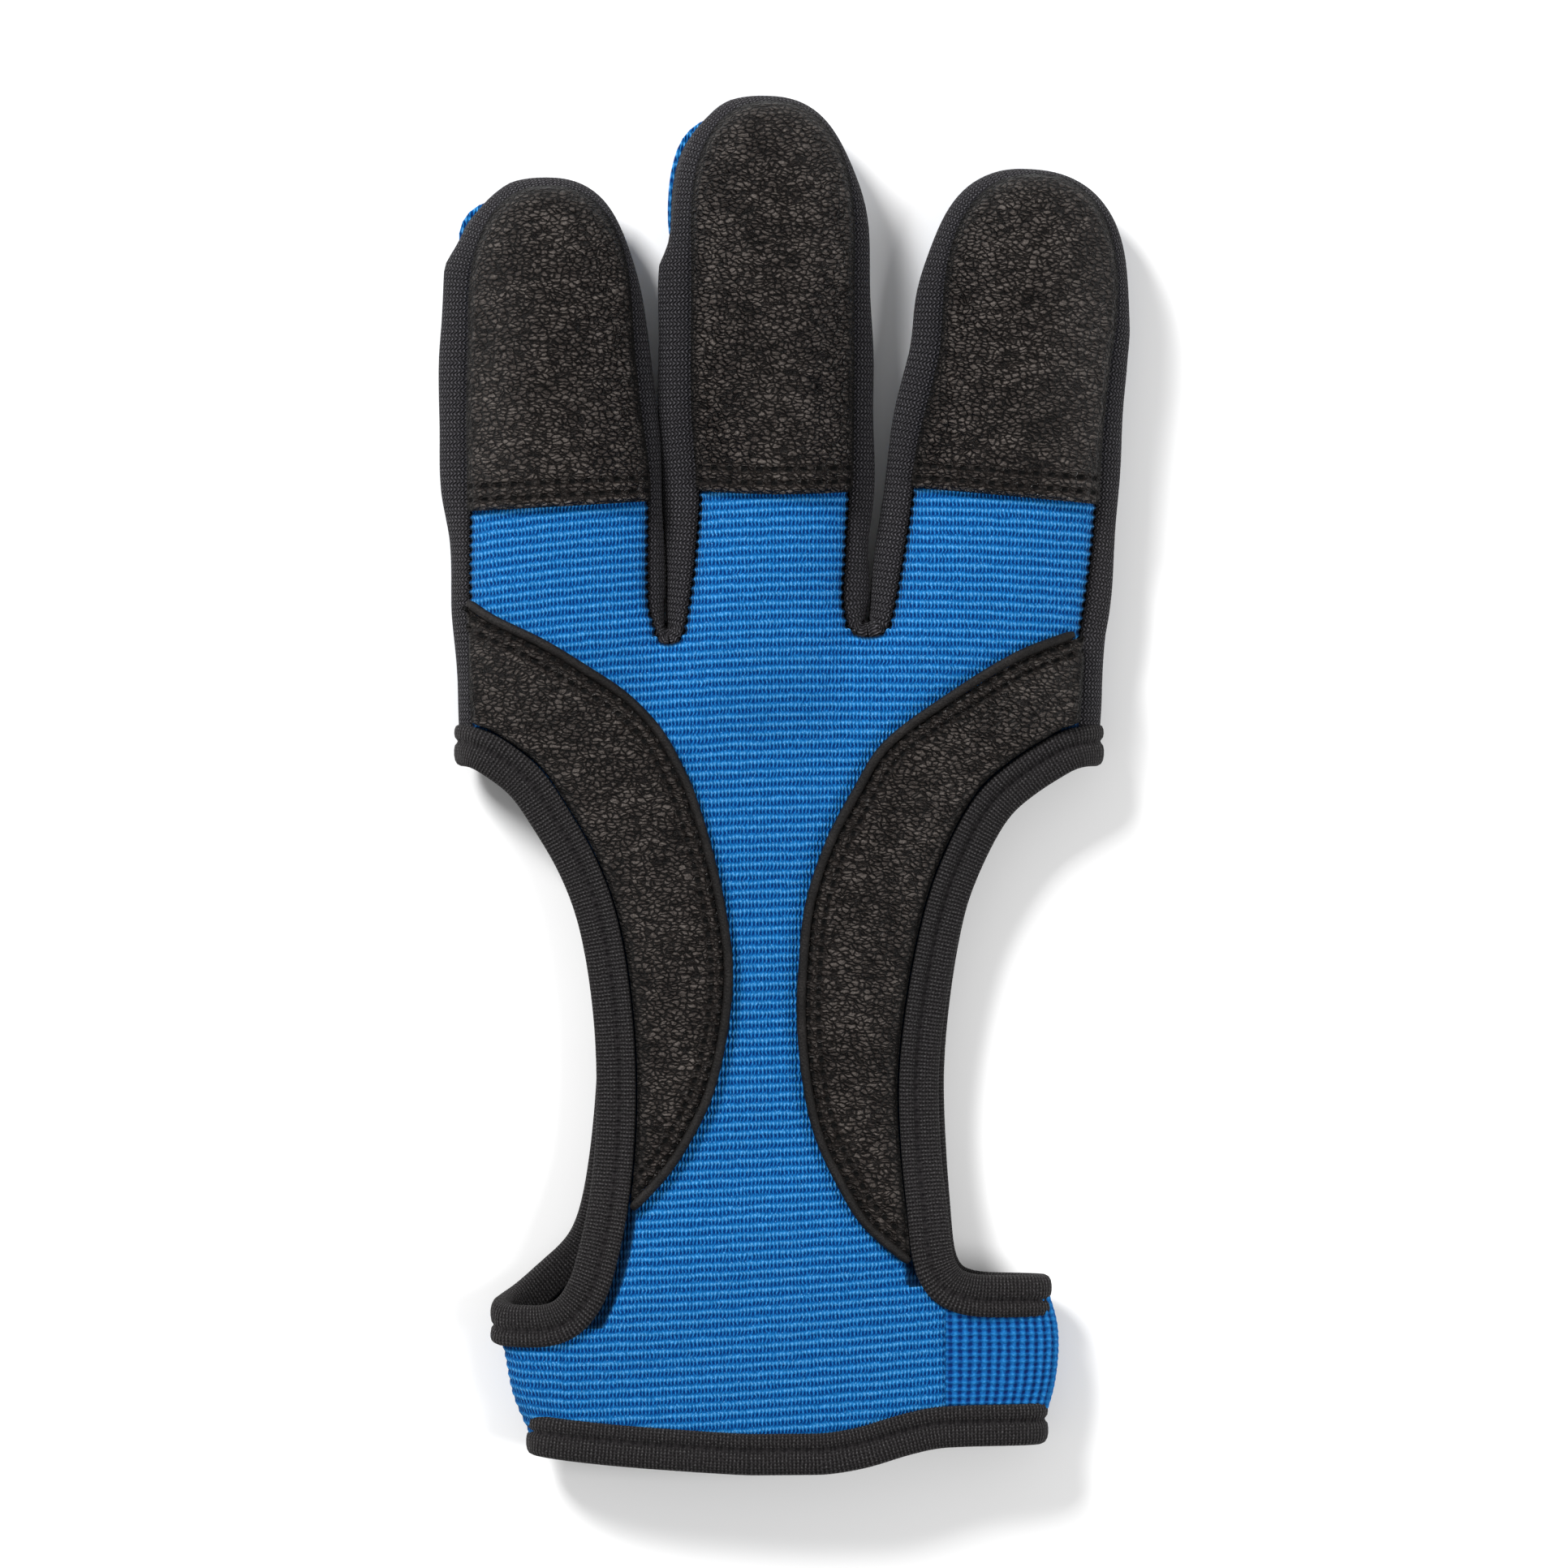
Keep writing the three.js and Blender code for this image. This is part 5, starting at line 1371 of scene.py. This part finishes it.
# inward and outward of each point; the last two columns add the strip's tuck and the wall it holds
STRIP = columns("inward outward tuck wall", [
    (5, 0.32, 0, 0), (5.08, 0.75, 0, 0), (4.85, 1.2, 0, 0), (4.3, 1.42, 0, 0), (3.7, 1.46, 0, 0),
    (3.1, 1.36, 0, 0), (2.75, 1.08, 0, 0), (2.5, 0.92, 0, 0), (2.2, 1.06, 0, 0), (1.8, 1.38, 0, 0),
    (1.1, 1.5, 0, 0), (0.3, 1.5, 0, 0), (-0.5, 1.36, 0, 0), (-1.1, 1.02, 0, 0), (-1.42, 0.4, 0, 0),
    (-1.48, -0.1, 0, -0.5), (-1.42, -0.2, 0, -1), (-1.1, -0.75, 0, -1), (-0.5, -1.15, 0, -1),
    (0.2, -1.3, 0, -1), (-0.4, -1.38, 1, -1), (0, -1.2, 1, -1), (0, -0.35, 1, -1), (-0.35, -0.32, 0, -1),
    (-0.4, 0.3, 0, 0), (2.4, 0.32, 0, 0),
])


def strip_outline(wall, tuck):
    inward = STRIP["inward"][None, :] + STRIP["tuck"][None, :] * tuck[:, None]
    outward_reach = STRIP["outward"][None, :] + STRIP["wall"][None, :] * wall[:, None]
    return np.stack([inward, outward_reach], axis=-1)


def even_steps(parts, step):
    """A closed path of several parts, each with its values resampled at even steps."""
    taken = []
    for part in parts:
        length = run_lengths(part[:, :3])
        count = max(int(length[-1] / step), 2)
        at = np.linspace(0, length[-1], count + 1)
        taken.append(np.stack([np.interp(at, length, part[:, k]) for k in range(part.shape[1])], axis=1))
    return taken


def soften(values, times):
    for _ in range(times):
        values = (np.roll(values, 1, axis=0) + 2 * values + np.roll(values, -1, axis=0)) / 4
    return values


def sheet_normal(x, y, height, face, inward_sign):
    step = 0.4 * inward_sign
    rise_x = (height(x + step, y) - height(x, y)) / step
    rise_y = (height(x, y + 0.3) - height(x, y - 0.3)) / 0.6
    return unit(np.stack([-rise_x, -rise_y, np.ones(len(x))], axis=1)) * face


def loop_normal(side, turn, down):
    ahead, behind = loop_point(side, turn + 0.5, down), loop_point(side, turn - 0.5, down)
    run = np.stack([ahead[0] - behind[0], 0 * turn, ahead[1] - behind[1]], axis=1)
    normal = unit(np.cross(run, [0, 1, 0]))
    x, z = loop_point(side, turn, down)
    centre, _, level, _ = wrist_loop(down)
    facing = normal[:, 0] * (x - centre) + normal[:, 2] * (z - level)
    return normal * np.where(facing < 0, -1, 1)[:, None]


# The step along a strip, the wall that it holds, and how far it tucks in, less at the end by the fingers
STRIP_STEP = 0.8
STRIP_WALL = 1.0
STRIP_TUCK = 4.0
END_TUCK = 1.2
END_PLACES = 30
# A strip fans round where the inward directions of two parts agree less than this
FAN_BEND = 0.8
FAN_STEPS = 7
WRIST_CORNER_REACH = 10
CORNER_PASSES = 150


def back_edge_height(x, y):
    """The back's height along its own edge."""
    return back_palm_height(x, y, np.ones(len(x)))


def opening_binding(side):
    sign = SIGN[side]
    top = WRIST_HEIGHT_LEFT if side == "left" else WRIST_HEIGHT_RIGHT
    y = np.linspace(CORNER_Y, top, 200)
    x = outer_edge(side, y)
    front = np.stack([x, y, front_height(x, y)], axis=1)
    front_part = np.concatenate([front, sheet_normal(x, y, front_height, 1, -sign)], axis=1)
    back_top = wrist_top_back(palm_edge(side, 1.0, f"back_{side}"))
    first_turn = turn_at(side, x[-1] + sign * 0.5, 0.0)
    last_turn = 180 - turn_at(side, palm_edge(side, 1.0, f"back_{side}") + sign * 0.5, 0.0)
    turns = np.linspace(first_turn, last_turn, 160)
    bx, bz = loop_point(side, turns, 0.0)
    by = mix(wrist_top(bx), wrist_top_back(bx), smooth(60, 130, turns))
    band = np.stack([bx, by, bz], axis=1)
    band_part = np.concatenate([band, loop_normal(side, turns, 0.0)], axis=1)
    ky = np.linspace(back_top, CORNER_Y, 200)
    kx = outer_edge(side, ky, back=True)
    back = np.stack([kx, ky, back_edge_height(kx, ky)], axis=1)
    back_part = np.concatenate([back, sheet_normal(kx, ky, back_edge_height, -1, -sign)], axis=1)
    depth = np.linspace(0.9, 0.1, END_PLACES)
    swell = (4 * depth * (1 - depth)) ** GUSSET_ROUNDNESS
    gx = sign * PALM_WIDTH / 2 + sign * GUSSET_BULGE * CORNER_BULGES[side] * swell
    gz = mix(front[0, 2] - 1.5, back[-1, 2] + 1.5, depth)
    end = np.stack([gx, np.full(END_PLACES, CORNER_Y), gz], axis=1)
    run = np.gradient(end, axis=0)
    end_normal = unit(np.cross(run, [0, 1, 0]))
    end_normal = end_normal * np.where(end_normal[:, :1] * sign < 0, -1, 1)
    end_part = np.concatenate([end, end_normal], axis=1)
    parts = even_steps([front_part, band_part, back_part, end_part], STRIP_STEP)
    sheets = []
    for part, tuck in zip(parts, [STRIP_TUCK] * 3 + [END_TUCK]):
        run = unit(np.gradient(part[:, :3], axis=0))
        into = unit(np.cross(part[:, 3:6], run)) * -sign
        sheets.append(np.concatenate([part, into, np.tile([STRIP_WALL, tuck], (len(part), 1))], axis=1))
    ring = []
    for number, sheet in enumerate(sheets):
        ring.append(sheet)
        following = sheets[(number + 1) % len(sheets)]
        if np.dot(sheet[-1, 6:9], following[0, 6:9]) < FAN_BEND:
            for share in np.linspace(0, 1, FAN_STEPS + 2)[1:-1]:
                ring.append(mix(sheet[-1], following[0], share)[None])
    ring = np.concatenate(ring)
    corner_x = palm_edge(side, 1.0)
    away = np.hypot(ring[:, 0] - corner_x, ring[:, 1] - wrist_top(corner_x))
    away_back = np.hypot(ring[:, 0] - kx[0], ring[:, 1] - ky[0])
    wrist_part = np.exp(-(np.minimum(away, away_back) / WRIST_CORNER_REACH) ** 2)[:, None]
    points = mix(soften(ring[:, :3], 6), soften(ring[:, :3], CORNER_PASSES), wrist_part)
    normals = unit(soften(ring[:, 3:6], 10))
    into = mix(soften(ring[:, 6:9], 10), soften(ring[:, 6:9], CORNER_PASSES), wrist_part)
    into = unit(into - normals * np.sum(into * normals, axis=1, keepdims=True))
    hold = soften(ring[:, 9:], 8)
    piece = ring_grid(f"side_binding_{side}", points, normals, into, strip_outline(hold[:, 0], hold[:, 1]))
    weld(piece)
    outward(piece)
    return finish(piece, tape, [f"opening_binding_{side}"])


def hem_binding():
    turns = np.linspace(0.5, 179.5, 400)
    halves = []
    for side, order in (("left", 1), ("right", -1)):
        x, z = loop_point(side, turns, 1.0)
        half = np.concatenate([np.stack([x, hem_line(x), z], axis=1), loop_normal(side, turns, 1.0)], axis=1)
        halves.append(half[::order])
    path = np.concatenate([halves[0], halves[1], halves[0][:1]])
    part = even_steps([path], STRIP_STEP)[0][:-1]
    points = soften(part[:, :3], 4)
    normals = unit(soften(part[:, 3:6], 4))
    run = unit(np.roll(points, -1, axis=0) - np.roll(points, 1, axis=0))
    into = unit(np.cross(normals, run))
    into = into * np.where(into[:, 1:2] < 0, -1, 1)
    hold = np.tile([STRIP_WALL, STRIP_TUCK], (len(points), 1))
    piece = ring_grid("hem_binding", points, normals, into, strip_outline(hold[:, 0], hold[:, 1]))
    weld(piece)
    outward(piece)
    return finish(piece, tape, ["wrist_hem_binding"])


front_panel()
back_panel()
wrist_elastic()
for make in (gusset, leather_tip):
    for index in range(len(FINGERS)):
        make(index)
for make in (palm_patch, patch_piping, opening_binding):
    for side in SIGN:
        make(side)
hem_binding()

# Floor, light and camera

FRAME_WIDTH = 0.2473
CAMERA_HEIGHT = 1.2
SENSOR_WIDTH = 36
# Name, place, size in metres, watts
LIGHTS = [("key", (-0.5, 0.62, 0.62), 0.28, 13), ("fill", (0.7, -0.2, 0.7), 0.45, 6)]


def studio():
    bpy.ops.object.select_all(action="DESELECT")
    bpy.ops.mesh.primitive_plane_add(size=6, location=(0, 0, -0.0001))
    floor = bpy.context.object
    floor.name = "floor"
    white = Finish("paper")
    white.surface((0.9, 0.9, 0.9, 1), 0.9, 0.0, 0.0)
    floor.data.materials.append(white.material)
    world = bpy.data.worlds.new("room")
    world.use_nodes = True
    world.node_tree.nodes["Background"].inputs[0].default_value = (1, 1, 1, 1)
    world.node_tree.nodes["Background"].inputs[1].default_value = 0.42
    bpy.context.scene.world = world
    for name, place, size, power in LIGHTS:
        light = bpy.data.lights.new(name, "AREA")
        light.size = size
        light.energy = power
        lamp = bpy.data.objects.new(name, light)
        bpy.context.collection.objects.link(lamp)
        lamp.location = place
        lamp.rotation_euler = (-Vector(place)).to_track_quat("-Z", "Y").to_euler()
    lens = bpy.data.cameras.new("overhead")
    lens.sensor_width = SENSOR_WIDTH
    lens.lens = SENSOR_WIDTH * CAMERA_HEIGHT / FRAME_WIDTH
    camera = bpy.data.objects.new("overhead", lens)
    camera.location = (0, 0, CAMERA_HEIGHT)
    bpy.context.collection.objects.link(camera)
    bpy.context.scene.camera = camera
    bpy.context.scene.view_settings.view_transform = "Standard"


studio()
